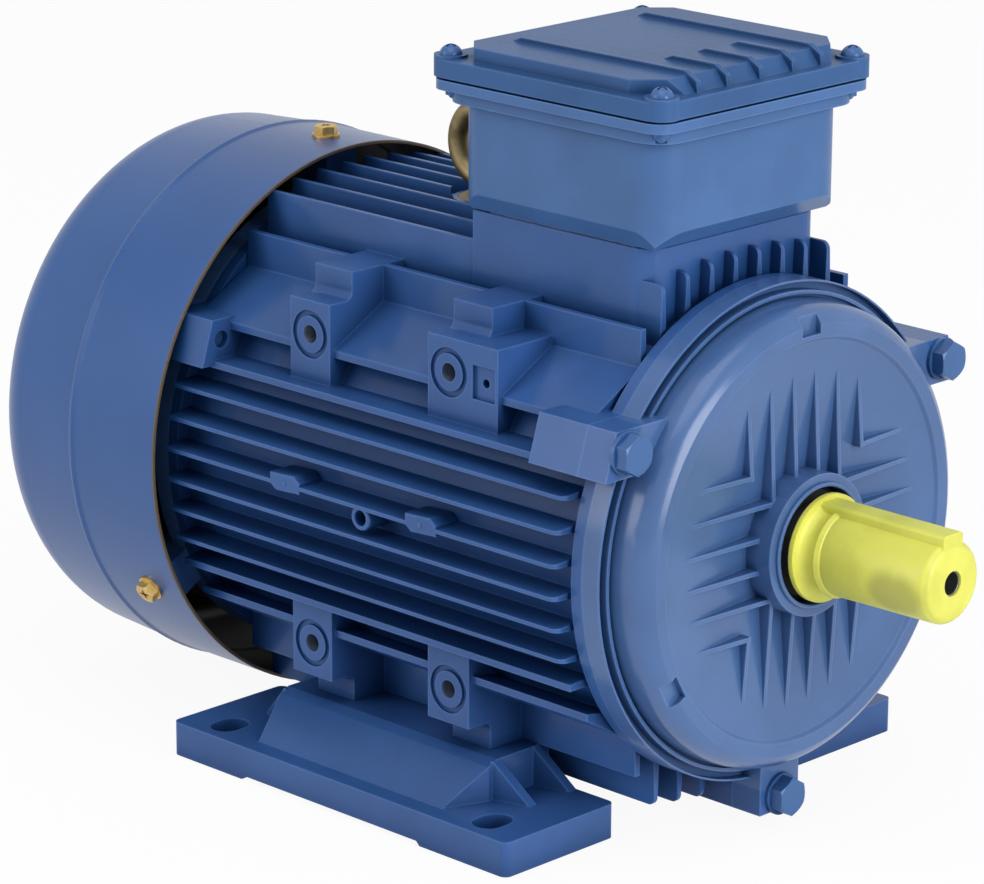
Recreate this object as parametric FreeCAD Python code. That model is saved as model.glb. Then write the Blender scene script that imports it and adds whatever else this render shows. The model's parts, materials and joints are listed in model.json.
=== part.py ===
import FreeCAD, Part
import math
import os

# Three-phase squirrel-cage motor, foot mounted, frame size 112M, with all its inner pieces.
# Millimetres. +X points out along the shaft, +Z is up. The origin is on the foot plane,
# midway between the two front foot slots, below the shaft axis.

Vector = FreeCAD.Vector

# Mounting sizes of the frame size
shaft_height = 112.0
foot_gauge = 190.0
foot_pitch = 140.0
slot_to_shoulder = 70.0
foot_slot_width = 12.0
foot_slot_length = 16.0
shaft_diameter = 28.0
shaft_extension = 60.0
key_width = 8.0
key_height = 7.0
key_length = 50.0
key_depth = 4.0

# Clearances
running_gap = 0.05
seat_gap = 0.02
bolt_gap = 0.5
air_gap = 0.35
loose_gap = 0.3

# Finned housing
core_radius = 82.5
housing_wall = 5.5
housing_length = 216.0
shoulder_to_housing = 29.5
ring_radius = 92.7
ring_length = 5.0
fin_tip_radius = 99.5
fin_root_thickness = 3.2
fin_tip_thickness = 1.5
fin_corner = 3.0
fin_setback = 7.0
ledge_thickness = 2.6
side_fin_pitch = 12.0
side_fins_per_side = 6
ledge_height = 42.0
ledge_reach = 90.5
wing_reach = 81.5
wing_tip_height = 55.5
wing_tip_thickness = 2.8
wing_root_height = 69.6
shoulder_wall_offset = 56.0
shoulder_wall_height = 83.4
top_fin_pitch = 12.7
top_fins = 8
top_fin_height = 102.3
top_fin_arc_radius = 206.0

# Seats for the feet, on all four corners of the housing
seat_distance = 83.5
seat_bolt_offset = 60.0
seat_bolt_spacing = 72.0
seat_width = 21.0
seat_low_edge = 42.0
seat_high_edge = 73.0
seat_upper_face = 72.0
seat_inner_edge = 45.0
seat_upper_inset = 1.5
seat_cove = 3.0
seat_groove_outer = 9.2
seat_groove_inner = 7.0
seat_groove_depth = 1.2
thread_m8_radius = 3.4
seat_thread_depth = 16.0

# Earth boss beside the front upper seat
earth_boss_length = 14.0
earth_recess_depth = 1.4
earth_recess_height = 12.5
earth_hole_radius = 1.65
earth_hole_depth = 8.0

# End shields and their lugs
lug_bolt_radius = 99.0
lug_angles = (30.0, 150.0, 270.0)
lug_top = 57.5
lug_outer_top = 90.0
lug_outer_low = 95.5
lug_low = 40.0
lug_inner = 62.0
lug_bottom_half_width = 10.5
lug_bottom_reach = 105.5
lug_housing_length = 23.3
lug_shield_length = 13.5
spigot_radius = 84.5
spigot_length = 5.0
shield_rim_length = 8.0
shield_wall = 5.0
bead_outer = 89.0
bead_inner = 87.6
bead_front = 8.5
dome_radius = 86.4
dome_draft = 0.8
dome_corner = 9.0
face_radius = 80.0
face_step_radius = 75.0
disc_radius = 73.6
disc_front = 23.6
disc_step = 1.5
dish_depth = 6.0
hub_ring_radius = 26.4
hub_ring_front = 29.0
rim_channel_outer = 92.0
rim_channel_depth = 4.0
bead_channel_depth = 2.2
shield_rib_pitch = 12.0
shield_rib_thickness = 1.7
shield_rib_reach = 63.0
shield_notch_angles = (90.0, 210.0, 330.0)
shield_notch_width = 10.0
shield_notch_depth = 2.6
shield_notch_inner = 76.5

# Bolts and screws (head sizes across flats, head heights)
m8_radius = 4.0
m8_across_flats = 13.0
m8_head_height = 5.3
m8_washer_radius = 8.0
m8_washer_thickness = 1.6
m5_radius = 2.5
m5_head_radius = 4.3
m5_head_height = 3.6
m4_radius = 2.0
m4_head_radius = 3.6
m4_head_height = 2.6

# Rolling bearings, one size at both ends
bearing_bore_radius = 15.0
bearing_outer_radius = 31.0
bearing_width = 16.0
bearing_ball_radius = 4.76
bearing_ball_count = 9
cage_half_wall = 1.6
cage_half_width = 6.2
bearing_shoulder_radius_inner = 19.6
bearing_shoulder_radius_outer = 26.6
bearing_front_x = 53.0
housing_boss_wall = 6.5
rear_bearing_to_housing = 5.5

# Shaft
shaft_core_radius = 19.0
shaft_core_shoulder = 1.0
shaft_collar_radius = 17.5
shaft_rear_radius = 12.0
centre_hole_radius = 4.25
centre_hole_depth = 22.0
shaft_chamfer = 1.0

# Stator and rotor
core_length = 135.0
stator_bore_radius = 49.0
stator_slots = 36
slot_depth = 16.0
slot_width = 4.6
coil_overhang = 32.0
coil_outer_radius = 76.0
coil_inner_radius = 52.5
coil_corner = 7.0
end_ring_width = 10.0
end_ring_depth = 17.0
rotor_blade_count = 12
rotor_blade_length = 14.0
rotor_blade_thickness = 3.0

# Fan, its clip and the cowl
fan_radius = 88.0
fan_hub_radius = 20.0
fan_hub_length = 26.0
fan_disc_thickness = 2.5
fan_blade_count = 7
fan_blade_thickness = 2.6
fan_blade_root = 27.0
fan_to_shield = 12.0
clip_thickness = 1.2
clip_radius = 15.5
clip_groove_depth = 0.8
cowl_gap_over_fins = 9.0
cowl_draw_in = 1.8
cowl_front_radius = fin_tip_radius + cowl_gap_over_fins
cowl_rear_radius = cowl_front_radius - cowl_draw_in
cowl_sheet = 1.2
cowl_overlap = 9.0
cowl_length = 99.1
cowl_bead_from_front = 47.0
cowl_bead_height = 0.7
cowl_bead_width = 3.6
cowl_corner = 20.0
cowl_screw_from_front = 18.5
cowl_screw_angles = (90.0, 210.0, 330.0)
cowl_screw_radius = 2.5
cowl_washer_radius = 5.4
cowl_washer_thickness = 1.0
cowl_screw_head_flats = 8.0
cowl_screw_head_height = 3.4
grille_rings = 5
grille_first_radius = 26.0
grille_ring_pitch = 12.5
grille_slot_width = 6.5
grille_bars = 6
grille_bar_width = 8.0

# Feet
foot_length = 177.6
foot_outer = 107.4
foot_inner = 50.4
foot_plate = 13.3
foot_corner = 3.0
foot_relief = 1.6
foot_relief_length = 92.0
foot_relief_shift = -2.5
foot_block_half_length = 55.5
foot_block_outer = 82.0
foot_block_bevel = 4.0
foot_web_toe = 101.0
foot_web_slant = 7.5
foot_rib_toe = 14.5
foot_rib_thickness = 4.0
foot_rib_slant = 4.0
foot_bolt_pocket_radius = 9.5
foot_bolt_grip = 12.0
foot_bolt_length = 22.0

# Pedestal and terminal box
box_centre_from_shoulder = 84.4
pedestal_half_length = 42.5
pedestal_half_width = 45.05
pedestal_top = 108.7
pedestal_corner = 9.0
pedestal_wall = 5.0
pedestal_floor_opening = 24.0
gasket_thickness = 1.0
box_half_length = 51.0
box_half_width = 50.2
box_corner = 14.0
box_undercut = 6.5
box_base_half_length = 44.5
box_base_half_width = 46.5
box_height = 48.0
box_wall = 3.5
box_floor = 5.0
box_rim_inner_half = 54.2
box_rim_step = 4.8
box_rim_thickness = 3.7
box_rim_corner = 8.0
lid_half_length = 57.0
lid_half_width = 57.4
lid_flange = 7.6
lid_top_rise = 5.4
lid_top_half_length = 51.5
lid_top_half_width = 53.0
lid_top_rear = 47.5
lid_top_corner = 14.0
lid_top_slope = 4.5
lid_wall = 3.0
lid_rib_height = 1.7
lid_rib_thickness = 2.2
lid_rib_offset = 33.0
lid_short_rib_pitch = 17.5
lid_screw_offset_x = 51.3
lid_screw_offset_y = 50.8
lid_screw_boss_radius = 6.2
lid_screw_boss_rise = 1.0
lid_gasket_thickness = 0.8
lid_gasket_width = 3.0
box_screw_offset_x = 35.0
box_screw_offset_y = 37.0

# Terminal board
board_length = 62.0
board_width = 40.0
board_thickness = 7.0
board_standoff = 6.0
stud_pitch = 20.0
stud_row_pitch = 20.0
stud_radius = 2.5
stud_height = 16.0
nut_flats = 8.0
nut_height = 4.0
link_width = 8.0
link_thickness = 1.0

# Cable gland and plug, on the far side of the box
gland_offset_x = 17.0
gland_height = 24.0
gland_thread_radius = 10.0
gland_flats = 24.0
gland_hex_length = 6.0
gland_dome_radius = 11.5
gland_dome_length = 15.0
gland_bore_radius = 5.5
plug_head_radius = 12.5
plug_head_thickness = 4.0

# Eyebolt
eyebolt_from_shoulder = 168.3
eye_outer_radius = 18.0
eye_inner_radius = 10.0
eye_thickness = 8.0
eye_collar_radius = 10.0
eye_collar_thickness = 3.0
eye_boss_radius = 12.0
eye_boss_top = 99.3
eye_thread_length = 12.0

# Transport sleeve over the shaft end
sleeve_wall = 1.0
sleeve_root_wall = 1.7
sleeve_fit = 0.15
sleeve_flange_radius = 20.0
sleeve_flange_thickness = 2.0
sleeve_flare = 3.5
sleeve_flange_gap = 2.5
sleeve_end_thickness = 0.9
sleeve_end_hole_radius = 4.6
sleeve_corner = 3.0
sleeve_ridge_corner = 1.4

# Shaft seals
seal_radius = 21.5
seal_width = 7.5
seal_lip_radius = 24.5

# Places that follow from the sizes above
axis_z = shaft_height
shoulder_x = slot_to_shoulder
shaft_end_x = shoulder_x + shaft_extension
housing_front_x = shoulder_x - shoulder_to_housing
housing_rear_x = housing_front_x - housing_length
mid_x = -foot_pitch / 2.0
body_radius = core_radius + housing_wall
core_front_x = (housing_front_x + housing_rear_x + core_length) / 2.0
core_rear_x = core_front_x - core_length
bearing_rear_x = housing_rear_x - rear_bearing_to_housing
fin_front_x = housing_front_x - fin_setback
fin_rear_x = housing_rear_x + 6.0
rear_shield_back_x = bearing_rear_x - bearing_width - 6.0
fan_front_x = rear_shield_back_x - fan_to_shield
fan_back_x = fan_front_x - fan_hub_length
shaft_rear_x = fan_back_x - clip_thickness - 4.0
cowl_front_x = housing_rear_x + cowl_overlap
cowl_rear_x = cowl_front_x - cowl_length
box_x = shoulder_x - box_centre_from_shoulder
pedestal_z = axis_z + pedestal_top
box_base_z = pedestal_z + gasket_thickness
box_top_z = box_base_z + box_height
lid_top_z = box_top_z + lid_flange + lid_top_rise
eyebolt_x = shoulder_x - eyebolt_from_shoulder
foot_seat_z = axis_z - seat_distance

ROWS = (1.0, -1.0)


def save(name, shape):
    """Writes one sub-part as its own file and prints its volume."""
    shape.exportStep("parts/" + name + ".step")
    print(name, "solids", len(shape.Solids), "volume", round(shape.Volume / 1000.0, 1), "cm3", shape.isValid())


def group(shapes):
    """Separate solids that share one node."""
    return Part.makeCompound(shapes)


def cylinder_x(radius, x_low, x_high, y=0.0, z=0.0):
    """Cylinder along X; y and z are measured from the shaft axis."""
    return Part.makeCylinder(radius, x_high - x_low, Vector(x_low, y, axis_z + z), Vector(1, 0, 0))


def cylinder_y(radius, y_low, y_high, x, z):
    return Part.makeCylinder(radius, y_high - y_low, Vector(x, y_low, z), Vector(0, 1, 0))


def cylinder_z(radius, z_low, z_high, x, y):
    return Part.makeCylinder(radius, z_high - z_low, Vector(x, y, z_low), Vector(0, 0, 1))


def ring_x(outer, inner, x_low, x_high):
    return cylinder_x(outer, x_low, x_high).cut(cylinder_x(inner, x_low, x_high))


def box_between(x_low, x_high, y_low, y_high, z_low, z_high):
    return Part.makeBox(x_high - x_low, y_high - y_low, z_high - z_low, Vector(x_low, y_low, z_low))


def flat_face(corners, rounds):
    """A flat face with these corners; each corner with a round above zero gets an arc of that radius."""
    firsts = []
    lasts = []
    edges = []
    for index, corner in enumerate(corners):
        radius = rounds[index]
        if radius <= 0.0:
            firsts.append(corner)
            lasts.append(corner)
            continue
        back = (corners[index - 1] - corner).normalize()
        ahead = (corners[(index + 1) % len(corners)] - corner).normalize()
        half = back.getAngle(ahead) / 2.0
        reach = radius / math.tan(half)
        first = corner + back * reach
        last = corner + ahead * reach
        inward = (back + ahead).normalize()
        middle = corner + inward * (radius / math.sin(half) - radius)
        firsts.append(first)
        lasts.append(last)
        edges.append(Part.Arc(first, middle, last).toShape())
    for index in range(len(corners)):
        start = lasts[index - 1]
        end = firsts[index]
        if (end - start).Length > 0.0001:
            edges.append(Part.makeLine(start, end))
    return Part.Face(Part.Wire(Part.sortEdges(edges)[0]))


def corner_round(point):
    """The third value of an outline point is the round of its corner."""
    return point[2] if len(point) > 2 else 0.0


def prism_x(points, x_low, x_high):
    """Extrudes a (y, height above the axis) outline along X."""
    corners = [Vector(x_low, point[0], axis_z + point[1]) for point in points]
    face = flat_face(corners, [corner_round(point) for point in points])
    return face.extrude(Vector(x_high - x_low, 0, 0))


def prism_y(points, y_low, y_high):
    """Extrudes an (x, z) outline along Y."""
    corners = [Vector(point[0], y_low, point[1]) for point in points]
    face = flat_face(corners, [corner_round(point) for point in points])
    return face.extrude(Vector(0, y_high - y_low, 0))


def prism_z(points, z_low, z_high):
    """Extrudes an (x, y) outline along Z."""
    corners = [Vector(point[0], point[1], z_low) for point in points]
    face = flat_face(corners, [corner_round(point) for point in points])
    return face.extrude(Vector(0, 0, z_high - z_low))


def turned(points):
    """Turns an (x, radius) outline round the shaft axis."""
    corners = [Vector(point[0], 0, axis_z + point[1]) for point in points]
    face = flat_face(corners, [corner_round(point) for point in points])
    return face.revolve(Vector(0, 0, axis_z), Vector(1, 0, 0), 360)


def about_axis(shape, degrees):
    """A copy turned about the shaft axis; 0 points along +Y and 90 points up."""
    copy = shape.copy()
    copy.rotate(Vector(0, 0, axis_z), Vector(1, 0, 0), degrees)
    return copy


def mirror_y(shape):
    return shape.mirror(Vector(0, 0, 0), Vector(0, 1, 0))


def mirror_z(shape):
    return shape.mirror(Vector(0, 0, axis_z), Vector(0, 0, 1))


def cut_corner_outline(x_mid, half_x, half_y, corner, z):
    """A closed rectangle wire with its four corners cut at 45 degrees."""
    points = []
    for sx, sy in ((1, -1), (1, 1), (-1, 1), (-1, -1)):
        along_x = Vector(x_mid + sx * (half_x - corner), sy * half_y, z)
        along_y = Vector(x_mid + sx * half_x, sy * (half_y - corner), z)
        points += [along_x, along_y] if sx * sy < 0 else [along_y, along_x]
    return Part.makePolygon(points + points[:1])


def rounded_block(x_mid, half_x, half_y, corner, z_low, z_high):
    """A rectangular block with rounded upright corners."""
    block = box_between(x_mid - half_x, x_mid + half_x, -half_y, half_y, z_low, z_high)
    upright = [e for e in block.Edges if abs(e.Vertexes[0].Z - e.Vertexes[1].Z) > 0.001]
    return block.makeFillet(corner, upright)


def hexagon(flats, length, base, direction):
    """A hexagon prism standing on base and pointing along direction."""
    corner = flats / math.sqrt(3.0)
    points = []
    for step in range(6):
        turn = math.radians(60.0 * step)
        points.append(Vector(corner * math.cos(turn), corner * math.sin(turn), 0))
    prism = Part.Face(Part.makePolygon(points + points[:1])).extrude(Vector(0, 0, length))
    crown = Part.makeCone(corner * 1.02, flats / 2.0, length * 0.12, Vector(0, 0, length * 0.88))
    stem = Part.makeCylinder(corner * 1.02, length * 0.88)
    prism = prism.common(stem.fuse(crown))
    prism.Placement = FreeCAD.Placement(base, FreeCAD.Rotation(Vector(0, 0, 1), direction))
    return prism


def hex_bolt(flats, head, radius, length, seat, direction):
    """A bolt whose head stands on seat and points along direction; the shank goes the other way."""
    back = Vector(direction).multiply(-1.0)
    shank = Part.makeCylinder(radius, length + head * 0.5, seat + direction * (head * 0.5), back)
    return hexagon(flats, head, seat, direction).fuse(shank)


def lug_outline(angle):
    """Outline of one lug seen along the shaft: two at the sides, one below."""
    if angle == 270.0:
        return [
            (-lug_bottom_half_width, -lug_inner),
            (-lug_bottom_half_width, -lug_bottom_reach),
            (lug_bottom_half_width, -lug_bottom_reach),
            (lug_bottom_half_width, -lug_inner),
        ]
    side = 1.0 if angle < 90.0 else -1.0
    return [
        (side * lug_inner, lug_top),
        (side * lug_outer_top, lug_top),
        (side * lug_outer_low, lug_low),
        (side * lug_inner, lug_low),
    ]


def lugs(x_low, x_high):
    return [prism_x(lug_outline(angle), x_low, x_high) for angle in lug_angles]


def lug_point(angle, x):
    turn = math.radians(angle)
    return Vector(x, lug_bolt_radius * math.cos(turn), axis_z + lug_bolt_radius * math.sin(turn))


def lug_holes(radius, x_low, x_high):
    holes = []
    for angle in lug_angles:
        centre = lug_point(angle, x_low)
        holes.append(Part.makeCylinder(radius, x_high - x_low, centre, Vector(1, 0, 0)))
    return holes


def fin_plate(x_low, x_high, root, tip):
    """One cooling fin at the origin's height, pointing along +Y: thin at the tip, front corner rounded."""
    half = fin_root_thickness / 2.0
    tip_half = fin_tip_thickness / 2.0
    side = [(x_low, root), (x_high, root), (x_high, tip, fin_corner), (x_low, tip)]
    plate = prism_z(side, -half, half)
    wedge_corners = [
        Vector(x_low, root, -half),
        Vector(x_low, root, half),
        Vector(x_low, tip, tip_half),
        Vector(x_low, tip, -tip_half),
    ]
    wedge = flat_face(wedge_corners, [0.0, 0.0, 0.0, 0.0]).extrude(Vector(x_high - x_low, 0, 0))
    return plate.common(wedge)


def side_fin(height):
    tip = math.sqrt(fin_tip_radius ** 2 - height ** 2)
    root = math.sqrt(body_radius ** 2 - height ** 2) - 1.5
    fin = fin_plate(fin_rear_x, fin_front_x, root, tip)
    fin.translate(Vector(0, 0, axis_z + height))
    return fin


def top_fin(offset):
    """An upright fin above the housing, at a distance to the side of the shaft axis."""
    tip = top_fin_height - offset ** 2 / (2.0 * top_fin_arc_radius)
    root = math.sqrt(body_radius ** 2 - offset ** 2) - 1.5
    fin = fin_plate(fin_rear_x, fin_front_x, root, tip)
    fin.rotate(Vector(0, 0, 0), Vector(1, 0, 0), 90)
    fin.translate(Vector(0, offset, axis_z))
    return fin


def seat_block(x_mid, extra_front):
    """Corner block for a foot bolt: a seat facing sideways and one facing up, joined by a cove."""
    half = seat_width / 2.0
    outline = [
        (seat_inner_edge, seat_high_edge - 12.0),
        (seat_inner_edge, seat_distance),
        (seat_upper_face, seat_distance),
        (seat_upper_face, seat_high_edge, seat_cove),
        (seat_distance, seat_high_edge),
        (seat_distance, seat_low_edge),
        (seat_inner_edge + 15.0, seat_low_edge),
    ]
    upper = prism_x(outline, x_mid - half + seat_upper_inset, x_mid + half)
    base = prism_x(
        [
            (seat_inner_edge + 15.0, seat_low_edge),
            (seat_distance, seat_low_edge),
            (seat_distance, seat_high_edge),
            (seat_inner_edge + 10.0, seat_high_edge),
        ],
        x_mid - half,
        x_mid + half + extra_front,
    )
    return upper.fuse(base)


def seat_details(x_mid):
    """What is cut from one corner block: the ring groove round the side hole, and both threads."""
    face = seat_distance
    groove_low = face - seat_groove_depth
    side_z = axis_z + seat_bolt_offset
    groove = cylinder_y(seat_groove_outer, groove_low, face + 1.0, x_mid, side_z)
    groove = groove.cut(cylinder_y(seat_groove_inner, groove_low, face + 1.0, x_mid, side_z))
    side_thread = cylinder_y(thread_m8_radius, face - seat_thread_depth, face + 1.0, x_mid, side_z)
    return [groove, side_thread]


def down_thread(x_mid):
    """The blind thread in a seat that faces down, for a foot bolt."""
    low = foot_seat_z - 1.0
    return cylinder_z(thread_m8_radius, low, foot_seat_z + seat_thread_depth, x_mid, seat_bolt_offset)


def housing_corner(x_seats):
    """Ledge, wing and shoulder wall of the upper +Y corner, with its two seat blocks."""
    length = (fin_rear_x, fin_front_x)
    ledge = prism_x(
        [
            (body_radius * 0.8, ledge_height),
            (ledge_reach, ledge_height),
            (ledge_reach, ledge_height - ledge_thickness),
            (body_radius * 0.8, ledge_height - ledge_thickness - 1.0),
        ],
        *length,
    )
    wing = prism_x(
        [
            (shoulder_wall_offset - 6.0, wing_root_height - 8.0),
            (shoulder_wall_offset - 6.0, wing_root_height),
            (shoulder_wall_offset, wing_root_height),
            (wing_reach, wing_tip_height),
            (wing_reach, wing_tip_height - wing_tip_thickness),
            (shoulder_wall_offset + 10.0, wing_tip_height),
        ],
        *length,
    )
    wall = prism_x(
        [
            (shoulder_wall_offset - ledge_thickness, wing_root_height - 8.0),
            (shoulder_wall_offset - ledge_thickness, shoulder_wall_height),
            (shoulder_wall_offset, shoulder_wall_height),
            (shoulder_wall_offset, wing_root_height - 8.0),
        ],
        *length,
    )
    pieces = [ledge, wing, wall]
    for x_mid in x_seats:
        pieces.append(seat_block(x_mid, 0.0))
    return pieces


def pedestal():
    """The raised neck under the terminal box, cast with the housing."""
    low = axis_z + body_radius - 20.0
    neck = rounded_block(box_x, pedestal_half_length, pedestal_half_width, pedestal_corner, low, pedestal_z)
    return neck


def pedestal_hollow():
    """The hollow of the neck and the lead opening through the housing wall."""
    half_x = pedestal_half_length - pedestal_wall
    half_y = pedestal_half_width - pedestal_wall
    floor_z = axis_z + body_radius + 1.0
    hollow = rounded_block(box_x, half_x, half_y, pedestal_corner - 3.0, floor_z, pedestal_z + 1.0)
    for sx in ROWS:
        for sy in ROWS:
            pillar = cylinder_z(
                8.0, floor_z, pedestal_z + 2.0, box_x + sx * box_screw_offset_x, sy * box_screw_offset_y
            )
            hollow = hollow.cut(pillar)
    opening = cylinder_z(pedestal_floor_opening / 2.0, axis_z, pedestal_z, lead_opening_x(), 0.0)
    return hollow.fuse(opening)


def lead_opening_x():
    """The leads leave the winding between the core's front end and the housing's front."""
    return core_front_x + pedestal_floor_opening / 2.0 + 1.0


def stator_frame():
    """The cast housing: barrel, end rings, fins, lugs, seats, pedestal and lifting boss."""
    solids = [cylinder_x(body_radius, housing_rear_x, housing_front_x)]
    solids.append(cylinder_x(ring_radius, housing_front_x - ring_length, housing_front_x))
    solids.append(cylinder_x(ring_radius, housing_rear_x, housing_rear_x + ring_length))
    for row in range(side_fins_per_side):
        height = (row - (side_fins_per_side - 1) / 2.0) * side_fin_pitch
        fin = side_fin(height)
        solids += [fin, mirror_y(fin)]
    for row in range(top_fins):
        offset = (row - (top_fins - 1) / 2.0) * top_fin_pitch
        fin = top_fin(offset)
        solids += [fin, mirror_z(fin)]
    seats_x = (mid_x - seat_bolt_spacing / 2.0, mid_x + seat_bolt_spacing / 2.0)
    corner = housing_corner(seats_x)
    for piece in corner:
        solids += [piece, mirror_y(piece), mirror_z(piece), mirror_z(mirror_y(piece))]
    earth_boss = seat_block(seats_x[1], earth_boss_length)
    solids.append(mirror_y(earth_boss))
    solids += lugs(housing_front_x - lug_housing_length, housing_front_x)
    solids += lugs(housing_rear_x, housing_rear_x + lug_housing_length)
    solids.append(pedestal())
    boss_low = axis_z + body_radius - 2.0
    boss_high = axis_z + eye_boss_top
    solids.append(cylinder_z(eye_boss_radius, boss_low, boss_high, eyebolt_x, 0.0))
    body = solids[0].fuse(solids[1:])

    cuts = [cylinder_x(core_radius + seat_gap, housing_rear_x - 1.0, housing_front_x + 1.0)]
    register = spigot_radius + seat_gap
    depth = spigot_length + loose_gap
    cuts.append(cylinder_x(register, housing_front_x - depth, housing_front_x + 1.0))
    cuts.append(cylinder_x(register, housing_rear_x - 1.0, housing_rear_x + depth))
    cuts += lug_holes(thread_m8_radius, housing_front_x - lug_housing_length - 1.0, housing_front_x + 1.0)
    cuts += lug_holes(thread_m8_radius, housing_rear_x - 1.0, housing_rear_x + lug_housing_length + 1.0)
    cuts.append(pedestal_hollow())
    cuts.append(cylinder_z(m8_radius - 0.6, axis_z + body_radius - 1.0, boss_high + 1.0, eyebolt_x, 0.0))
    cuts.append(cylinder_z(eye_boss_radius + 1.0, boss_high, boss_high + 10.0, eyebolt_x, 0.0))
    for x_mid in seats_x:
        for tool in seat_details(x_mid):
            cuts += [tool, mirror_y(tool), mirror_z(tool), mirror_z(mirror_y(tool))]
        hole = down_thread(x_mid)
        cuts += [hole, mirror_y(hole)]
    cuts += box_screw_holes()
    cuts += earth_recess(seats_x[1])
    return body.cut(cuts)


def box_screw_holes():
    """Blind threads in the pedestal's corner pillars."""
    holes = []
    for sx in ROWS:
        for sy in ROWS:
            x = box_x + sx * box_screw_offset_x
            y = sy * box_screw_offset_y
            holes.append(cylinder_z(m5_radius - 0.4, pedestal_z - 12.0, pedestal_z + 1.0, x, y))
    return holes


def earth_recess(x_seat):
    """A small square recess with a threaded hole, for the outside earth screw."""
    low_x = x_seat + seat_width / 2.0 + 1.5
    high_x = low_x + earth_boss_length - 3.0
    z_mid = axis_z + seat_bolt_offset - 1.0
    face = -seat_distance
    recess = box_between(
        low_x,
        high_x,
        face - 1.0,
        face + earth_recess_depth,
        z_mid - earth_recess_height / 2.0,
        z_mid + earth_recess_height / 2.0,
    )
    middle = (low_x + high_x) / 2.0
    hole = cylinder_y(earth_hole_radius, face - 1.0, face + earth_hole_depth, middle, z_mid)
    return [recess, hole]


def drive_end_shield():
    """Domed front shield: rim, two channels, raised face ring, dished disc with ribs, hub ring, bearing seat."""
    start = housing_front_x
    rim_x = start + shield_rim_length
    bead_x = start + bead_front
    disc_x = start + disc_front
    hub_x = start + hub_ring_front
    dish_x = disc_x - dish_depth
    boss_radius = bearing_outer_radius + housing_boss_wall
    back_x = bearing_front_x - bearing_width - 2.0
    bearing_hole = bearing_outer_radius + seat_gap
    seal_hole = seal_radius + 1.5
    outline = [
        (start - spigot_length, spigot_radius),
        (start, spigot_radius),
        (start, ring_radius),
        (rim_x, ring_radius),
        (rim_x, rim_channel_outer),
        (rim_x - rim_channel_depth, rim_channel_outer),
        (rim_x - rim_channel_depth, bead_outer),
        (bead_x, bead_outer),
        (bead_x, bead_inner),
        (bead_x - bead_channel_depth, bead_inner),
        (bead_x - bead_channel_depth, dome_radius),
        (disc_x - 3.5, dome_radius - dome_draft, dome_corner),
        (disc_x, face_radius),
        (disc_x, face_step_radius),
        (disc_x - disc_step, disc_radius),
        (dish_x, hub_ring_radius),
        (hub_x, hub_ring_radius),
        (hub_x, seal_hole),
        (bearing_front_x + 3.0, seal_hole),
        (bearing_front_x + 3.0, bearing_shoulder_radius_outer + 0.4),
        (bearing_front_x, bearing_shoulder_radius_outer + 0.4),
        (bearing_front_x, bearing_hole),
        (back_x, bearing_hole),
        (back_x, boss_radius),
        (dish_x - shield_wall, boss_radius),
        (disc_x - disc_step - shield_wall, disc_radius),
        (disc_x - shield_wall - 4.0, dome_radius - dome_draft - shield_wall),
        (start - spigot_length, spigot_radius - shield_wall),
    ]
    shield = turned(outline)
    ribs = shield_ribs(disc_x, dish_x)
    shield = shield.fuse(ribs + lugs(start, start + lug_shield_length))
    cuts = lug_holes(m8_radius + bolt_gap, start - 1.0, start + lug_shield_length + 1.0)
    notch = box_between(
        disc_x - shield_notch_depth,
        disc_x + 3.0,
        -shield_notch_width / 2.0,
        shield_notch_width / 2.0,
        axis_z + shield_notch_inner,
        axis_z + dome_radius + 1.0,
    )
    for angle in shield_notch_angles:
        cuts.append(about_axis(notch, angle - 90.0))
    return shield.cut(cuts)


def shield_ribs(disc_x, dish_x):
    """Twelve upright and twelve level ribs that run out of the dished face from the hub."""
    ribs = []
    half = shield_rib_thickness / 2.0
    offsets = [shield_rib_pitch * (row + 0.5) for row in range(3)]
    low_x = dish_x - 1.0
    for offset in offsets:
        start = math.sqrt(max(hub_ring_radius ** 2 - offset ** 2, 0.0)) if offset < hub_ring_radius else offset
        end = math.sqrt(shield_rib_reach ** 2 - offset ** 2)
        top_x = disc_x - 0.2
        dish_rise = (dish_depth - disc_step) / (disc_radius - hub_ring_radius)
        tip_x = dish_x + dish_rise * (shield_rib_reach - hub_ring_radius) - 0.1
        points = [
            Vector(low_x, offset - half, axis_z + start - 1.0),
            Vector(top_x, offset - half, axis_z + start - 1.0),
            Vector(tip_x, offset - half, axis_z + end),
            Vector(low_x, offset - half, axis_z + end),
        ]
        rib = Part.Face(Part.makePolygon(points + points[:1])).extrude(Vector(0, shield_rib_thickness, 0))
        rib_mirror = mirror_y(rib)
        for turn in (0.0, 90.0, 180.0, 270.0):
            ribs += [about_axis(rib, turn), about_axis(rib_mirror, turn)]
    return ribs


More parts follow.
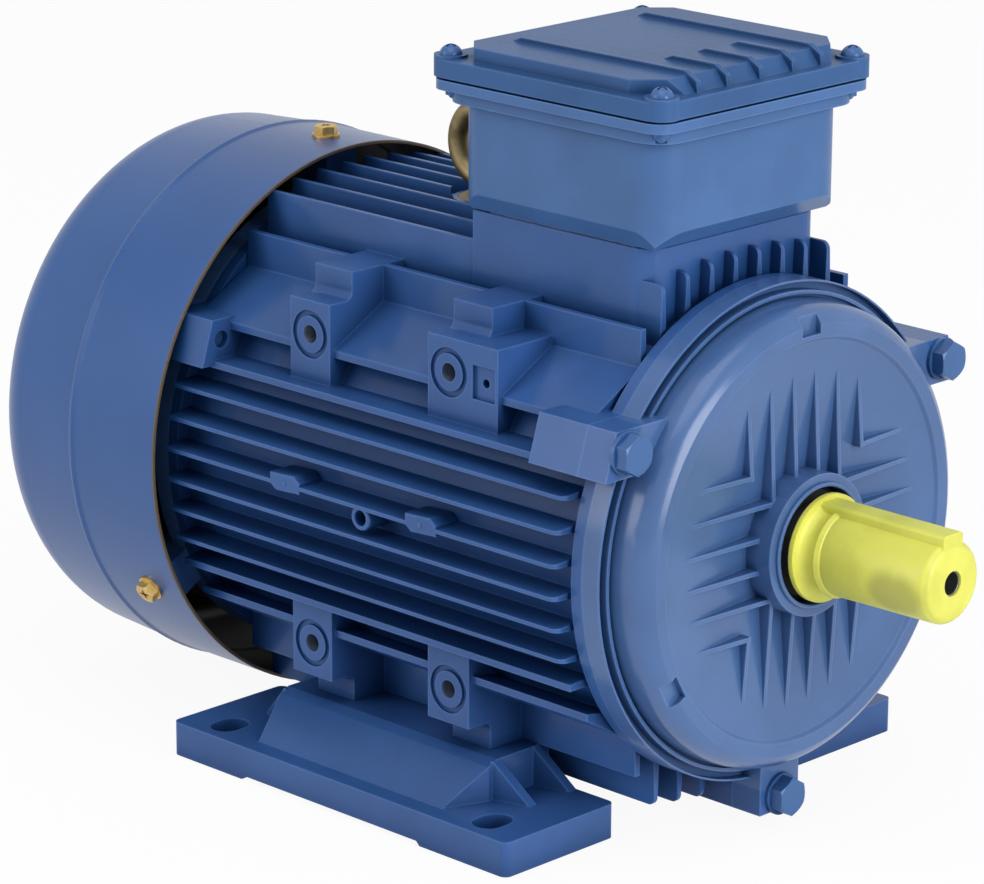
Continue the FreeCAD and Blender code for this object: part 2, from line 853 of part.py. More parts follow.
def fan_end_shield():
    """Rear shield under the cowl, with its bearing housing and three bosses for the cowl screws."""
    start = housing_rear_x
    boss_radius = bearing_outer_radius + housing_boss_wall
    back_x = rear_shield_back_x
    front_x = bearing_rear_x + 2.0
    bearing_hole = bearing_outer_radius + seat_gap
    shaft_hole = shaft_rear_radius + 4.0
    outline = [
        (start + spigot_length, spigot_radius),
        (start, spigot_radius),
        (start, ring_radius),
        (start - shield_rim_length, ring_radius),
        (start - shield_rim_length - 2.0, dome_radius),
        (bearing_rear_x - bearing_width, boss_radius + 12.0),
        (back_x, boss_radius),
        (back_x, shaft_hole),
        (bearing_rear_x - bearing_width - 3.0, shaft_hole),
        (bearing_rear_x - bearing_width - 3.0, bearing_hole),
        (front_x, bearing_hole),
        (front_x, boss_radius),
        (start - shield_rim_length - 6.0, boss_radius + 6.0),
        (start - shield_rim_length + 2.0, spigot_radius - shield_wall),
        (start + spigot_length, spigot_radius - shield_wall),
    ]
    shield = turned(outline)
    boss_reach = cowl_front_radius - cowl_sheet - loose_gap
    screw_x = cowl_front_x - cowl_screw_from_front
    bosses = []
    for angle in cowl_screw_angles:
        boss = box_between(screw_x - 6.0, start - 1.0, -8.0, 8.0, axis_z + dome_radius - 12.0, axis_z + boss_reach)
        bosses.append(about_axis(boss, angle - 90.0))
    shield = shield.fuse(bosses + lugs(start - lug_shield_length, start))
    cuts = lug_holes(m8_radius + bolt_gap, start - lug_shield_length - 1.0, start + 1.0)
    for angle in cowl_screw_angles:
        hole = cylinder_z(cowl_screw_radius - 0.4, axis_z + boss_reach - 12.0, axis_z + boss_reach + 1.0, screw_x, 0.0)
        cuts.append(about_axis(hole, angle - 90.0))
    return shield.cut(cuts)


def shield_bolts(x_face, direction):
    """Three hexagon bolts with their washers, through one shield's lugs."""
    bolts = []
    washers = []
    for angle in lug_angles:
        face = lug_point(angle, x_face)
        washer = Part.makeCylinder(m8_washer_radius, m8_washer_thickness, face, direction)
        washer = washer.cut(Part.makeCylinder(m8_radius + 0.3, m8_washer_thickness, face, direction))
        washers.append(washer)
        seat = face + direction * m8_washer_thickness
        length = m8_washer_thickness + lug_shield_length + lug_housing_length - 3.0
        bolts.append(hex_bolt(m8_across_flats, m8_head_height, thread_m8_radius - 0.1, length, seat, direction))
    return group(bolts), group(washers)


def foot(side):
    """One bolted-on foot: slotted plate, raised block with sloped web, and end ribs."""
    low_x = mid_x - foot_length / 2.0
    high_x = mid_x + foot_length / 2.0
    plate_corners = [
        (low_x, foot_inner, foot_corner),
        (high_x, foot_inner, foot_corner),
        (high_x, foot_outer, foot_corner),
        (low_x, foot_outer, foot_corner),
    ]
    plate = prism_z(plate_corners, 0.0, foot_plate)
    half = foot_block_half_length
    seat_side = foot_block_outer - foot_block_bevel
    block_corners = [
        Vector(mid_x - half, foot_inner, foot_plate - 1.0),
        Vector(mid_x - half, foot_inner, foot_seat_z),
        Vector(mid_x - half, seat_side, foot_seat_z),
        Vector(mid_x - half, foot_block_outer, foot_seat_z - 2.0),
        Vector(mid_x - half, foot_web_toe, foot_plate - 1.0),
    ]
    block = flat_face(block_corners, [0.0] * len(block_corners)).extrude(Vector(2.0 * half, 0, 0))
    slant_ends = []
    for end in ROWS:
        corners = [
            (mid_x + end * half, foot_block_outer),
            (mid_x + end * (half + 5.0), foot_block_outer),
            (mid_x + end * (half + 5.0), foot_web_toe + 1.0),
            (mid_x + end * (half - foot_web_slant), foot_web_toe + 1.0),
        ]
        slant_ends.append(prism_z(corners, foot_plate - 2.0, foot_seat_z + 1.0))
    solids = [block.cut(slant_ends)]
    for end in ROWS:
        face_x = mid_x + end * half
        for y_low in (foot_inner + foot_rib_slant + 0.5, foot_block_outer - foot_rib_thickness - 2.0):
            corners = [
                Vector(face_x - end * 1.0, y_low, foot_plate - 1.0),
                Vector(face_x - end * 1.0, y_low, foot_seat_z - 0.4),
                Vector(face_x, y_low, foot_seat_z - 0.4),
                Vector(face_x + end * foot_rib_toe, y_low - foot_rib_slant, foot_plate),
                Vector(face_x + end * foot_rib_toe, y_low - foot_rib_slant, foot_plate - 1.0),
            ]
            lean = foot_rib_slant / foot_rib_toe
            for corner in corners[:2]:
                corner.y = y_low + lean * 1.0
            rib = flat_face(corners, [0.0] * len(corners)).extrude(Vector(0, foot_rib_thickness, 0))
            solids.append(rib)
    body = plate.fuse(solids)

    cuts = []
    for slot_x in (mid_x - foot_pitch / 2.0, mid_x + foot_pitch / 2.0):
        reach = (foot_slot_length - foot_slot_width) / 2.0
        y_mid = foot_gauge / 2.0
        radius = foot_slot_width / 2.0
        cuts.append(cylinder_z(radius, -1.0, foot_plate + 1.0, slot_x, y_mid - reach))
        cuts.append(cylinder_z(radius, -1.0, foot_plate + 1.0, slot_x, y_mid + reach))
        cuts.append(
            box_between(
                slot_x - radius, slot_x + radius, y_mid - reach, y_mid + reach, -1.0, foot_plate + 1.0
            )
        )
    half_relief = foot_relief_length / 2.0
    relief_x = mid_x + foot_relief_shift
    cuts.append(
        prism_y(
            [
                (relief_x - half_relief - foot_relief, -1.0),
                (relief_x - half_relief - foot_relief, 0.0),
                (relief_x - half_relief, foot_relief),
                (relief_x + half_relief, foot_relief),
                (relief_x + half_relief + foot_relief, 0.0),
                (relief_x + half_relief + foot_relief, -1.0),
            ],
            foot_inner - 1.0,
            foot_outer + 1.0,
        )
    )
    pocket_top = foot_seat_z - foot_bolt_grip
    for bolt_x in (mid_x - seat_bolt_spacing / 2.0, mid_x + seat_bolt_spacing / 2.0):
        cuts.append(cylinder_z(foot_bolt_pocket_radius, -1.0, pocket_top, bolt_x, seat_bolt_offset))
        cuts.append(cylinder_z(m8_radius + bolt_gap, 0.0, foot_seat_z + 1.0, bolt_x, seat_bolt_offset))
    body = body.cut(cuts)
    return body if side > 0 else mirror_y(body)


def foot_bolts():
    """Four bolts that come up through the feet into the housing's seats."""
    bolts = []
    seat_z = foot_seat_z - foot_bolt_grip
    for bolt_x in (mid_x - seat_bolt_spacing / 2.0, mid_x + seat_bolt_spacing / 2.0):
        for side in ROWS:
            seat = Vector(bolt_x, side * seat_bolt_offset, seat_z)
            bolts.append(
                hex_bolt(
                    m8_across_flats, m8_head_height, thread_m8_radius - 0.1, foot_bolt_length, seat, Vector(0, 0, -1)
                )
            )
    return group(bolts)


def rectangle_wire(half_x, half_y, z):
    """A rectangle round the middle of the box, at one height."""
    corners = [
        Vector(box_x - half_x, -half_y, z),
        Vector(box_x + half_x, -half_y, z),
        Vector(box_x + half_x, half_y, z),
        Vector(box_x - half_x, half_y, z),
    ]
    return Part.makePolygon(corners + corners[:1])


def terminal_box():
    """Box casting: rounded corners, undercut foot, two-step rim, hollow inside, cable hole and plug hole."""
    low = box_base_z
    undercut_z = low + box_undercut
    rim_z = box_top_z - box_rim_thickness
    step_z = rim_z - box_rim_step
    walls = rounded_block(box_x, box_half_length, box_half_width, box_corner, undercut_z, step_z + 1.0)
    post = rounded_block(box_x, box_half_length, box_half_width, box_corner, low, undercut_z)
    base_wire = rectangle_wire(box_base_half_length, box_base_half_width, low)
    waist_wire = rectangle_wire(box_half_length, box_half_width, undercut_z)
    foot_part = post.common(Part.makeLoft([base_wire, waist_wire], True, True))
    step = rounded_block(box_x, box_rim_inner_half, box_rim_inner_half, 12.0, step_z, rim_z)
    rim = rounded_block(box_x, lid_half_length, lid_half_width, box_rim_corner, rim_z, box_top_z)
    body = walls.fuse([foot_part, step, rim])

    inner_x = box_half_length - box_wall
    inner_y = box_half_width - box_wall
    cuts = [rounded_block(box_x, inner_x, inner_y, box_corner - box_wall, low + box_floor, box_top_z + 1.0)]
    cuts.append(
        rounded_block(
            box_x, pedestal_half_length - 16.0, pedestal_half_width - 16.0, 6.0, low - 1.0, low + box_floor + 1.0
        )
    )
    for sx in ROWS:
        for sy in ROWS:
            x = box_x + sx * box_screw_offset_x
            y = sy * box_screw_offset_y
            cuts.append(cylinder_z(m5_radius + 0.3, low - 1.0, low + box_floor + 1.0, x, y))
            x = box_x + sx * lid_screw_offset_x
            y = sy * lid_screw_offset_y
            cuts.append(cylinder_z(m5_radius - 0.4, box_top_z - 8.0, box_top_z + 1.0, x, y))
    cuts.append(cylinder_z(m5_radius - 0.4, low - 1.0, low + box_floor + 1.0, earth_screw_x(), 0.0))
    for x in (box_x + gland_offset_x, box_x - gland_offset_x):
        z = low + gland_height
        cuts.append(cylinder_y(gland_thread_radius + 0.1, box_half_width - box_wall - 2.0, box_half_width + 2.0, x, z))
    return body.cut(cuts)


def box_gasket():
    outer = rounded_block(
        box_x, pedestal_half_length, pedestal_half_width, pedestal_corner, pedestal_z, box_base_z
    )
    inner = rounded_block(
        box_x,
        pedestal_half_length - 16.0,
        pedestal_half_width - 16.0,
        6.0,
        pedestal_z,
        box_base_z,
    )
    holes = [inner]
    for sx in ROWS:
        for sy in ROWS:
            x = box_x + sx * box_screw_offset_x
            y = sy * box_screw_offset_y
            holes.append(cylinder_z(m5_radius + 0.3, pedestal_z, box_base_z, x, y))
    return outer.cut(holes)


def pan_screw(radius, head_radius, head_height, length, x, y, seat_z):
    """A pan-head screw standing on seat_z and pointing down, with a cross recess."""
    dome_radius_sphere = (head_radius ** 2 + head_height ** 2) / (2.0 * head_height)
    head = Part.makeSphere(dome_radius_sphere, Vector(x, y, seat_z + head_height - dome_radius_sphere))
    head = head.common(cylinder_z(head_radius, seat_z, seat_z + head_height + 1.0, x, y))
    shank = cylinder_z(radius, seat_z - length, seat_z + 0.5, x, y)
    arm = head_radius * 0.55
    slit = head_radius * 0.13
    top = seat_z + head_height
    slot_a = box_between(x - arm, x + arm, y - slit, y + slit, top - 1.3, top + 1.0)
    slot_b = box_between(x - slit, x + slit, y - arm, y + arm, top - 1.3, top + 1.0)
    return head.fuse(shank).cut([slot_a, slot_b])


def box_screws():
    screws = []
    for sx in ROWS:
        for sy in ROWS:
            x = box_x + sx * box_screw_offset_x
            y = sy * box_screw_offset_y
            screws.append(
                pan_screw(m5_radius - 0.5, m5_head_radius, m5_head_height, 14.0, x, y, box_base_z + box_floor)
            )
    return group(screws)


def terminal_lid():
    """Lid casting: flange, raised top with cut corners and sloped edge, ribs and screw bosses."""
    low = box_top_z + lid_gasket_thickness
    flange_z = box_top_z + lid_flange
    flange = rounded_block(box_x, lid_half_length, lid_half_width, box_rim_corner, low, flange_z)
    base = cut_corner_outline(box_x, lid_top_half_length, lid_top_half_width, lid_top_corner, flange_z)
    raised = Part.Face(base).extrude(Vector(0, 0, lid_top_rise))
    side_view = [
        (box_x - lid_top_rear, flange_z),
        (box_x - lid_top_rear + 1.0, lid_top_z),
        (box_x + lid_top_half_length - lid_top_slope, lid_top_z),
        (box_x + lid_top_half_length, flange_z),
    ]
    raised = raised.common(prism_y(side_view, -lid_top_half_width, lid_top_half_width))
    solids = [raised]
    for sx in ROWS:
        for sy in ROWS:
            x = box_x + sx * lid_screw_offset_x
            y = sy * lid_screw_offset_y
            solids.append(cylinder_z(lid_screw_boss_radius, low, flange_z + lid_screw_boss_rise, x, y))
    front = box_x + lid_top_half_length - 1.0
    front_top = box_x + lid_top_half_length - lid_top_slope - 0.5
    rear_long = box_x - lid_top_half_length * 0.63
    rear_short = box_x + lid_top_half_length * 0.52
    ribs = [(lid_rib_offset, rear_long), (-lid_rib_offset, rear_long)]
    for row in (-1, 0, 1):
        ribs.append((row * lid_short_rib_pitch, rear_short))
    for y, rear in ribs:
        outline = [
            (rear - 4.0, lid_top_z - 1.0),
            (rear - 4.0, lid_top_z),
            (rear, lid_top_z + lid_rib_height),
            (front_top, lid_top_z + lid_rib_height),
            (front + 1.6, lid_top_z - 1.4),
            (front + 2.2, flange_z - 0.5),
            (front - 6.0, flange_z - 0.5),
        ]
        solids.append(prism_y(outline, y - lid_rib_thickness / 2.0, y + lid_rib_thickness / 2.0))
    body = flange.fuse(solids)

    hollow_base = cut_corner_outline(
        box_x, lid_top_half_length - lid_wall - 2.0, lid_top_half_width - lid_wall - 2.0, lid_top_corner, low - 1.0
    )
    hollow = Part.Face(hollow_base).extrude(Vector(0, 0, lid_top_z - lid_wall - low + 1.0))
    cuts = [hollow]
    for sx in ROWS:
        for sy in ROWS:
            x = box_x + sx * lid_screw_offset_x
            y = sy * lid_screw_offset_y
            cuts.append(cylinder_z(m5_radius + 0.3, low - 1.0, lid_top_z + 1.0, x, y))
    return body.cut(cuts)


def lid_gasket():
    low = box_top_z
    high = box_top_z + lid_gasket_thickness
    outer = Part.Face(
        cut_corner_outline(box_x, lid_top_half_length, lid_top_half_width, lid_top_corner, low)
    ).extrude(Vector(0, 0, high - low))
    inner = Part.Face(
        cut_corner_outline(
            box_x,
            lid_top_half_length - lid_gasket_width,
            lid_top_half_width - lid_gasket_width,
            lid_top_corner,
            low,
        )
    ).extrude(Vector(0, 0, high - low))
    return outer.cut(inner)


def lid_screws():
    screws = []
    seat = box_top_z + lid_flange + lid_screw_boss_rise
    for sx in ROWS:
        for sy in ROWS:
            x = box_x + sx * lid_screw_offset_x
            y = sy * lid_screw_offset_y
            screws.append(pan_screw(m5_radius - 0.5, m5_head_radius, m5_head_height, 15.0, x, y, seat))
    return group(screws)


def stud_places():
    places = []
    for column in (-1, 0, 1):
        for row in (-0.5, 0.5):
            places.append((box_x + column * stud_pitch, row * stud_row_pitch))
    return places


def terminal_board():
    """Moulded block on two feet, with six stud holes and barriers between the phases."""
    low = box_base_z + box_floor + board_standoff
    high = low + board_thickness
    half_x = board_length / 2.0
    half_y = board_width / 2.0
    body = box_between(box_x - half_x, box_x + half_x, -half_y, half_y, low, high)
    solids = []
    for sx in ROWS:
        x_low = box_x + sx * (half_x - 3.0) - 3.0
        solids.append(box_between(x_low, x_low + 6.0, -half_y, half_y, box_base_z + box_floor, low + 1.0))
    for column in (-0.5, 0.5):
        x = box_x + column * stud_pitch
        solids.append(box_between(x - 1.0, x + 1.0, -half_y, half_y, high - 1.0, high + 6.0))
    body = body.fuse(solids)
    holes = [cylinder_z(stud_radius + seat_gap, low - 1.0, high + 1.0, x, y) for x, y in stud_places()]
    return body.cut(holes)


def terminal_studs():
    low = box_base_z + box_floor + board_standoff
    high = low + board_thickness
    studs = []
    for x, y in stud_places():
        stud = cylinder_z(stud_radius, low, high + stud_height, x, y)
        nut = hexagon(nut_flats, nut_height, Vector(x, y, high), Vector(0, 0, 1))
        studs.append(stud.fuse(nut))
    return group(studs)


def terminal_links():
    """Three brass links that join the studs across the board."""
    low = box_base_z + box_floor + board_standoff + board_thickness + nut_height
    half = link_width / 2.0
    links = []
    for column in (-1, 0, 1):
        x = box_x + column * stud_pitch
        end = stud_row_pitch / 2.0
        link = box_between(x - half, x + half, -end, end, low, low + link_thickness)
        rounds = [cylinder_z(half, low, low + link_thickness, x, side * end) for side in ROWS]
        link = link.fuse(rounds)
        holes = [cylinder_z(stud_radius + 0.2, low - 1.0, low + 2.0, x, side * end) for side in ROWS]
        links.append(link.cut(holes))
    return group(links)


def terminal_nuts():
    low = box_base_z + box_floor + board_standoff + board_thickness + nut_height + link_thickness
    nuts = []
    for x, y in stud_places():
        nut = hexagon(nut_flats, nut_height, Vector(x, y, low), Vector(0, 0, 1))
        nuts.append(nut.cut(cylinder_z(stud_radius + seat_gap, low - 1.0, low + nut_height + 1.0, x, y)))
    return group(nuts)


def earth_screw():
    """Inside earth screw on the box floor."""
    shank = m5_radius - 0.5
    seat = box_base_z + box_floor
    return pan_screw(shank, m5_head_radius, m5_head_height, box_floor - 0.5, earth_screw_x(), 0.0, seat)


def earth_screw_x():
    """Its place on the box floor, in front of the terminal board."""
    return box_x + board_length / 2.0 + m5_head_radius + 3.0


def gland_axis():
    return box_x - gland_offset_x, box_base_z + gland_height


def cable_gland():
    """Gland body: thread through the wall, hexagon flange, open through the middle."""
    x, z = gland_axis()
    wall_out = box_half_width
    body = hexagon(gland_flats, gland_hex_length, Vector(x, wall_out, z), Vector(0, 1, 0))
    thread = cylinder_y(gland_thread_radius, wall_out - box_wall - 5.0, wall_out + 1.0, x, z)
    neck = cylinder_y(gland_bore_radius + 2.5, wall_out + 4.0, wall_out + gland_hex_length + 8.0, x, z)
    body = body.fuse([thread, neck])
    return body.cut(cylinder_y(gland_bore_radius, wall_out - 20.0, wall_out + 40.0, x, z))


def gland_nut():
    """Domed cap nut of the cable gland."""
    x, z = gland_axis()
    low = box_half_width + gland_hex_length + seat_gap
    cap = cylinder_y(gland_dome_radius, low, low + gland_dome_length, x, z)
    rim = [e for e in cap.Edges if e.Vertexes[0].Y > low + gland_dome_length - 0.1 and len(e.Vertexes) == 1]
    cap = cap.makeFillet(4.0, rim)
    inside = cylinder_y(gland_bore_radius + 2.5 + seat_gap, low - 1.0, low + 9.0, x, z)
    bore = cylinder_y(gland_bore_radius, low - 1.0, low + gland_dome_length + 1.0, x, z)
    return cap.cut([inside, bore])


def gland_locknut():
    x, z = gland_axis()
    low = box_half_width - box_wall - 4.0
    nut = hexagon(gland_flats, 3.8, Vector(x, low, z), Vector(0, 1, 0))
    return nut.cut(cylinder_y(gland_thread_radius + seat_gap, low - 1.0, low + 5.0, x, z))


def blanking_plug():
    x = box_x + gland_offset_x
    z = box_base_z + gland_height
    wall_out = box_half_width
    head = cylinder_y(plug_head_radius, wall_out, wall_out + plug_head_thickness, x, z)
    thread = cylinder_y(gland_thread_radius, wall_out - box_wall - 4.0, wall_out + 1.0, x, z)
    slot = box_between(
        x - plug_head_radius,
        x + plug_head_radius,
        wall_out + plug_head_thickness - 1.5,
        wall_out + plug_head_thickness + 1.0,
        z - 1.2,
        z + 1.2,
    )
    slot = slot.common(cylinder_y(plug_head_radius * 0.7, wall_out, wall_out + 10.0, x, z))
    hollow = cylinder_y(gland_thread_radius - 2.5, wall_out - box_wall - 5.0, wall_out - 1.0, x, z)
    return head.fuse(thread).cut([slot, hollow])


def eyebolt():
    """Lifting eyebolt screwed into its boss behind the terminal box."""
    seat = axis_z + eye_boss_top
    eye_z = seat + eye_collar_thickness - 1.0 + eye_outer_radius
    mean = (eye_outer_radius + eye_inner_radius) / 2.0
    eye = Part.makeTorus(mean, (eye_outer_radius - eye_inner_radius) / 2.0, Vector(eyebolt_x, 0, eye_z), Vector(0, 1, 0))
    collar = Part.makeCone(
        eye_collar_radius, eye_thickness / 2.0 + 1.0, eye_collar_thickness, Vector(eyebolt_x, 0, seat)
    )
    shank = cylinder_z(m8_radius - 0.7, seat - eye_thread_length, seat + 1.0, eyebolt_x, 0.0)
    return eye.fuse([collar, shank])


def fan_cowl():
    """Pressed steel cowl: open at the front, one small bead round it, drawn in to the rear, grille in its back."""
    bead_x = cowl_front_x - cowl_bead_from_front
    half_bead = cowl_bead_width / 2.0
    taper_x = cowl_rear_x + cowl_corner
    run = [
        (cowl_front_x, cowl_front_radius, 0.0),
        (bead_x + half_bead, cowl_front_radius, 0.0),
        (bead_x, cowl_front_radius + cowl_bead_height, 0.0),
        (bead_x - half_bead, cowl_front_radius - 0.1, 0.0),
        (taper_x, cowl_rear_radius, 0.0),
    ]
    outer_run = run + [(cowl_rear_x, cowl_rear_radius, cowl_corner - 0.5), (cowl_rear_x, 0.0, 0.0)]
    inner_run = [(x, radius - cowl_sheet, corner) for x, radius, corner in run]
    inner_back = cowl_rear_x + cowl_sheet
    inner_run += [(inner_back, cowl_rear_radius - cowl_sheet, cowl_corner - cowl_sheet - 0.5), (inner_back, 0.0, 0.0)]
    shell = turned(outer_run + inner_run[::-1])
    cuts = grille_slots()
    screw_x = cowl_front_x - cowl_screw_from_front
    for angle in cowl_screw_angles:
        hole = cylinder_z(
            cowl_screw_radius + 0.3, axis_z + cowl_front_radius - 5.0, axis_z + cowl_front_radius + 2.0, screw_x, 0.0
        )
        cuts.append(about_axis(hole, angle - 90.0))
    return shell.cut(cuts)


def grille_slots():
    """Rings of curved air slots, parted by straight bars."""
    low_x = cowl_rear_x - 1.0
    high_x = cowl_rear_x + cowl_sheet + 1.0
    bars = []
    for bar in range(grille_bars):
        strip = box_between(
            low_x - 1.0,
            high_x + 1.0,
            -grille_bar_width / 2.0,
            grille_bar_width / 2.0,
            axis_z + grille_first_radius / 2.0,
            axis_z + cowl_rear_radius,
        )
        bars.append(about_axis(strip, 360.0 * bar / grille_bars))
    slots = []
    for row in range(grille_rings):
        inner = grille_first_radius + row * grille_ring_pitch
        ring = ring_x(inner + grille_slot_width, inner, low_x, high_x)
        slots.append(ring.cut(bars))
    return slots


def cowl_screws():
    """Three yellow zinc hexagon screws, each with its own washer."""
    screws = []
    washers = []
    screw_x = cowl_front_x - cowl_screw_from_front
    seat = axis_z + cowl_front_radius
    for angle in cowl_screw_angles:
        washer = cylinder_z(cowl_washer_radius, seat - 0.1, seat + cowl_washer_thickness, screw_x, 0.0)
        washer = washer.cut(cylinder_z(cowl_screw_radius + 0.2, seat - 1.0, seat + 3.0, screw_x, 0.0))
        washer = washer.cut(cylinder_x(cowl_front_radius + 0.01, screw_x - 9.0, screw_x + 9.0))
        washers.append(about_axis(washer, angle - 90.0))
        head_z = seat + cowl_washer_thickness
        screw = hex_bolt(
            cowl_screw_head_flats,
            cowl_screw_head_height,
            cowl_screw_radius - 0.5,
            11.0,
            Vector(screw_x, 0, head_z),
            Vector(0, 0, 1),
        )
        top = head_z + cowl_screw_head_height
        for turn in (0.0, 90.0):
            slot = box_between(-2.2, 2.2, -0.5, 0.5, top - 1.6, top + 1.0)
            slot.rotate(Vector(0, 0, 0), Vector(0, 0, 1), turn)
            slot.translate(Vector(screw_x, 0, 0))
            screw = screw.cut(slot)
        screws.append(about_axis(screw, angle - 90.0))
    return group(screws), group(washers)


def fan():
    """Moulded radial fan: hub, disc and straight blades, so that it works both ways round."""
    disc_x = fan_front_x - fan_disc_thickness
    hub = cylinder_x(fan_hub_radius, fan_back_x, fan_front_x)
    disc = cylinder_x(fan_radius, disc_x, fan_front_x)
    solids = [disc]
    half = fan_blade_thickness / 2.0
    for blade in range(fan_blade_count):
        points = [
            Vector(fan_front_x - 1.0, -half, axis_z + fan_hub_radius - 2.0),
            Vector(fan_front_x - 1.0, -half, axis_z + fan_radius),
            Vector(fan_back_x + 6.0, -half, axis_z + fan_radius),
            Vector(fan_back_x + 1.0, -half, axis_z + fan_blade_root + 14.0),
            Vector(fan_back_x + 1.0, -half, axis_z + fan_hub_radius - 2.0),
        ]
        plate = Part.Face(Part.makePolygon(points + points[:1])).extrude(Vector(0, fan_blade_thickness, 0))
        solids.append(about_axis(plate, 360.0 * blade / fan_blade_count))
    body = hub.fuse(solids)
    return body.cut(cylinder_x(shaft_rear_radius + seat_gap, fan_back_x - 1.0, fan_front_x + 1.0))


def fan_clip():
    """Snap ring that keeps the fan on the shaft."""
    high = fan_back_x - seat_gap
    low = high - clip_thickness
    ring = ring_x(clip_radius, shaft_rear_radius - clip_groove_depth + seat_gap, low, high)
    gap = box_between(low - 1.0, high + 1.0, -3.0, 3.0, axis_z, axis_z + clip_radius + 1.0)
    return ring.cut(gap)


def shaft():
    """Stepped shaft: extension with keyway and centre hole, bearing seats, core seat and fan seat."""
    end = shaft_end_x
    radius = shaft_diameter / 2.0
    front_seat_back = bearing_front_x - bearing_width
    groove_x = fan_back_x - seat_gap
    groove_end = groove_x - clip_thickness - seat_gap
    outline = [
        (shaft_rear_x, 0.0),
        (shaft_rear_x, shaft_rear_radius - shaft_chamfer),
        (shaft_rear_x + shaft_chamfer, shaft_rear_radius),
        (groove_end, shaft_rear_radius),
        (groove_end, shaft_rear_radius - clip_groove_depth),
        (groove_x, shaft_rear_radius - clip_groove_depth),
        (groove_x, shaft_rear_radius),
        (bearing_rear_x - bearing_width - 1.0, shaft_rear_radius),
        (bearing_rear_x - bearing_width - 1.0, bearing_bore_radius),
        (bearing_rear_x, bearing_bore_radius),
        (bearing_rear_x, shaft_collar_radius),
        (core_rear_x - shaft_core_shoulder, shaft_collar_radius),
        (core_rear_x - shaft_core_shoulder, shaft_core_radius),
        (core_front_x + shaft_core_shoulder, shaft_core_radius),
        (core_front_x + shaft_core_shoulder, shaft_collar_radius),
        (front_seat_back, shaft_collar_radius),
        (front_seat_back, bearing_bore_radius),
        (shoulder_x, bearing_bore_radius),
        (shoulder_x, radius),
        (end - shaft_chamfer, radius),
        (end, radius - shaft_chamfer),
        (end, 0.0),
    ]
    body = turned(outline)
    keyway = key_prism(key_depth)
    hole = cylinder_x(centre_hole_radius, end - centre_hole_depth, end + 1.0)
    cone = Part.makeCone(
        centre_hole_radius, 0.0, centre_hole_radius, Vector(end - centre_hole_depth, 0, axis_z), Vector(-1, 0, 0)
    )
    return body.cut([keyway, hole, cone])


def key_prism(depth):
    """Space of the key, from its bottom in the shaft up past the surface; round ends."""
    half = key_width / 2.0
    low_z = axis_z + shaft_diameter / 2.0 - depth
    high_z = low_z + key_height
    x_high = shaft_end_x - (shaft_extension - key_length) / 2.0
    x_low = x_high - key_length
    body = box_between(x_low + half, x_high - half, -half, half, low_z, high_z)
    ends = [cylinder_z(half, low_z, high_z, x, 0.0) for x in (x_low + half, x_high - half)]
    return body.fuse(ends)


def shaft_sleeve():
    """Soft plastic transport sleeve over the shaft end and its key, closed at the tip but for a hole."""
    flange_x = shoulder_x + sleeve_flange_gap
    flange_front = flange_x + sleeve_flange_thickness
    tip_x = shaft_end_x + seat_gap * 5.0 + sleeve_end_thickness
    bore = shaft_diameter / 2.0 + sleeve_fit
    inner_tip = tip_x - sleeve_end_thickness
    tube = turned(
        [
            (flange_x, bore),
            (flange_x, sleeve_flange_radius),
            (flange_front, sleeve_flange_radius),
            (flange_front, bore + sleeve_root_wall, sleeve_flare),
            (tip_x, bore + sleeve_wall, sleeve_corner),
            (tip_x, sleeve_end_hole_radius),
            (inner_tip, sleeve_end_hole_radius),
            (inner_tip, bore),
        ]
    )
    key_top = shaft_diameter / 2.0 - key_depth + key_height
    ridge_half = key_width / 2.0 + sleeve_fit + sleeve_wall
    ridge_top = key_top + sleeve_fit + sleeve_wall
    ridge = prism_x(
        [
            (-ridge_half, 0.0),
            (-ridge_half, ridge_top, sleeve_ridge_corner),
            (ridge_half, ridge_top, sleeve_ridge_corner),
            (ridge_half, 0.0),
        ],
        flange_x,
        tip_x - 0.4,
    )
    body = tube.fuse(ridge)
    inside = cylinder_x(bore, flange_x - 1.0, inner_tip)
    key_room = box_between(
        flange_x - 1.0,
        inner_tip,
        -key_width / 2.0 - sleeve_fit,
        key_width / 2.0 + sleeve_fit,
        axis_z,
        axis_z + key_top + sleeve_fit,
    )
    hole = cylinder_x(sleeve_end_hole_radius, tip_x - 5.0, tip_x + 1.0)
    return body.cut([inside, key_room, hole])


def shaft_seal():
    """Rubber ring on the shaft in front of the bearing, turning with it inside the hub ring."""
    low = bearing_front_x + 4.5
    high = low + seal_width
    outline = [
        (low, bearing_bore_radius + seat_gap),
        (low, seal_radius),
        (high - 2.0, seal_radius),
        (high, seal_radius - 2.0),
        (high, bearing_bore_radius + seat_gap),
    ]
    return turned(outline)


def bearing_parts(x_front):
    """Outer ring, inner ring, balls and cage of one deep-groove ball bearing."""
    low = x_front - bearing_width
    mid = x_front - bearing_width / 2.0
    pitch = (bearing_bore_radius + bearing_outer_radius) / 2.0
    track = bearing_ball_radius + running_gap
    race = Part.makeTorus(pitch, track, Vector(mid, 0, axis_z), Vector(1, 0, 0))
    outer = ring_x(bearing_outer_radius, bearing_shoulder_radius_outer, low, x_front).cut(race)
    inner = ring_x(bearing_shoulder_radius_inner, bearing_bore_radius + seat_gap, low, x_front).cut(race)
    balls = []
    pockets = []
    for step in range(bearing_ball_count):
        turn = 2.0 * math.pi * step / bearing_ball_count
        centre = Vector(mid, pitch * math.cos(turn), axis_z + pitch * math.sin(turn))
        balls.append(Part.makeSphere(bearing_ball_radius, centre))
        pockets.append(Part.makeSphere(bearing_ball_radius + running_gap, centre))
    cage = ring_x(pitch + cage_half_wall, pitch - cage_half_wall, mid - cage_half_width, mid + cage_half_width)
    cage = cage.cut(pockets)
    return outer, inner, group(balls), cage


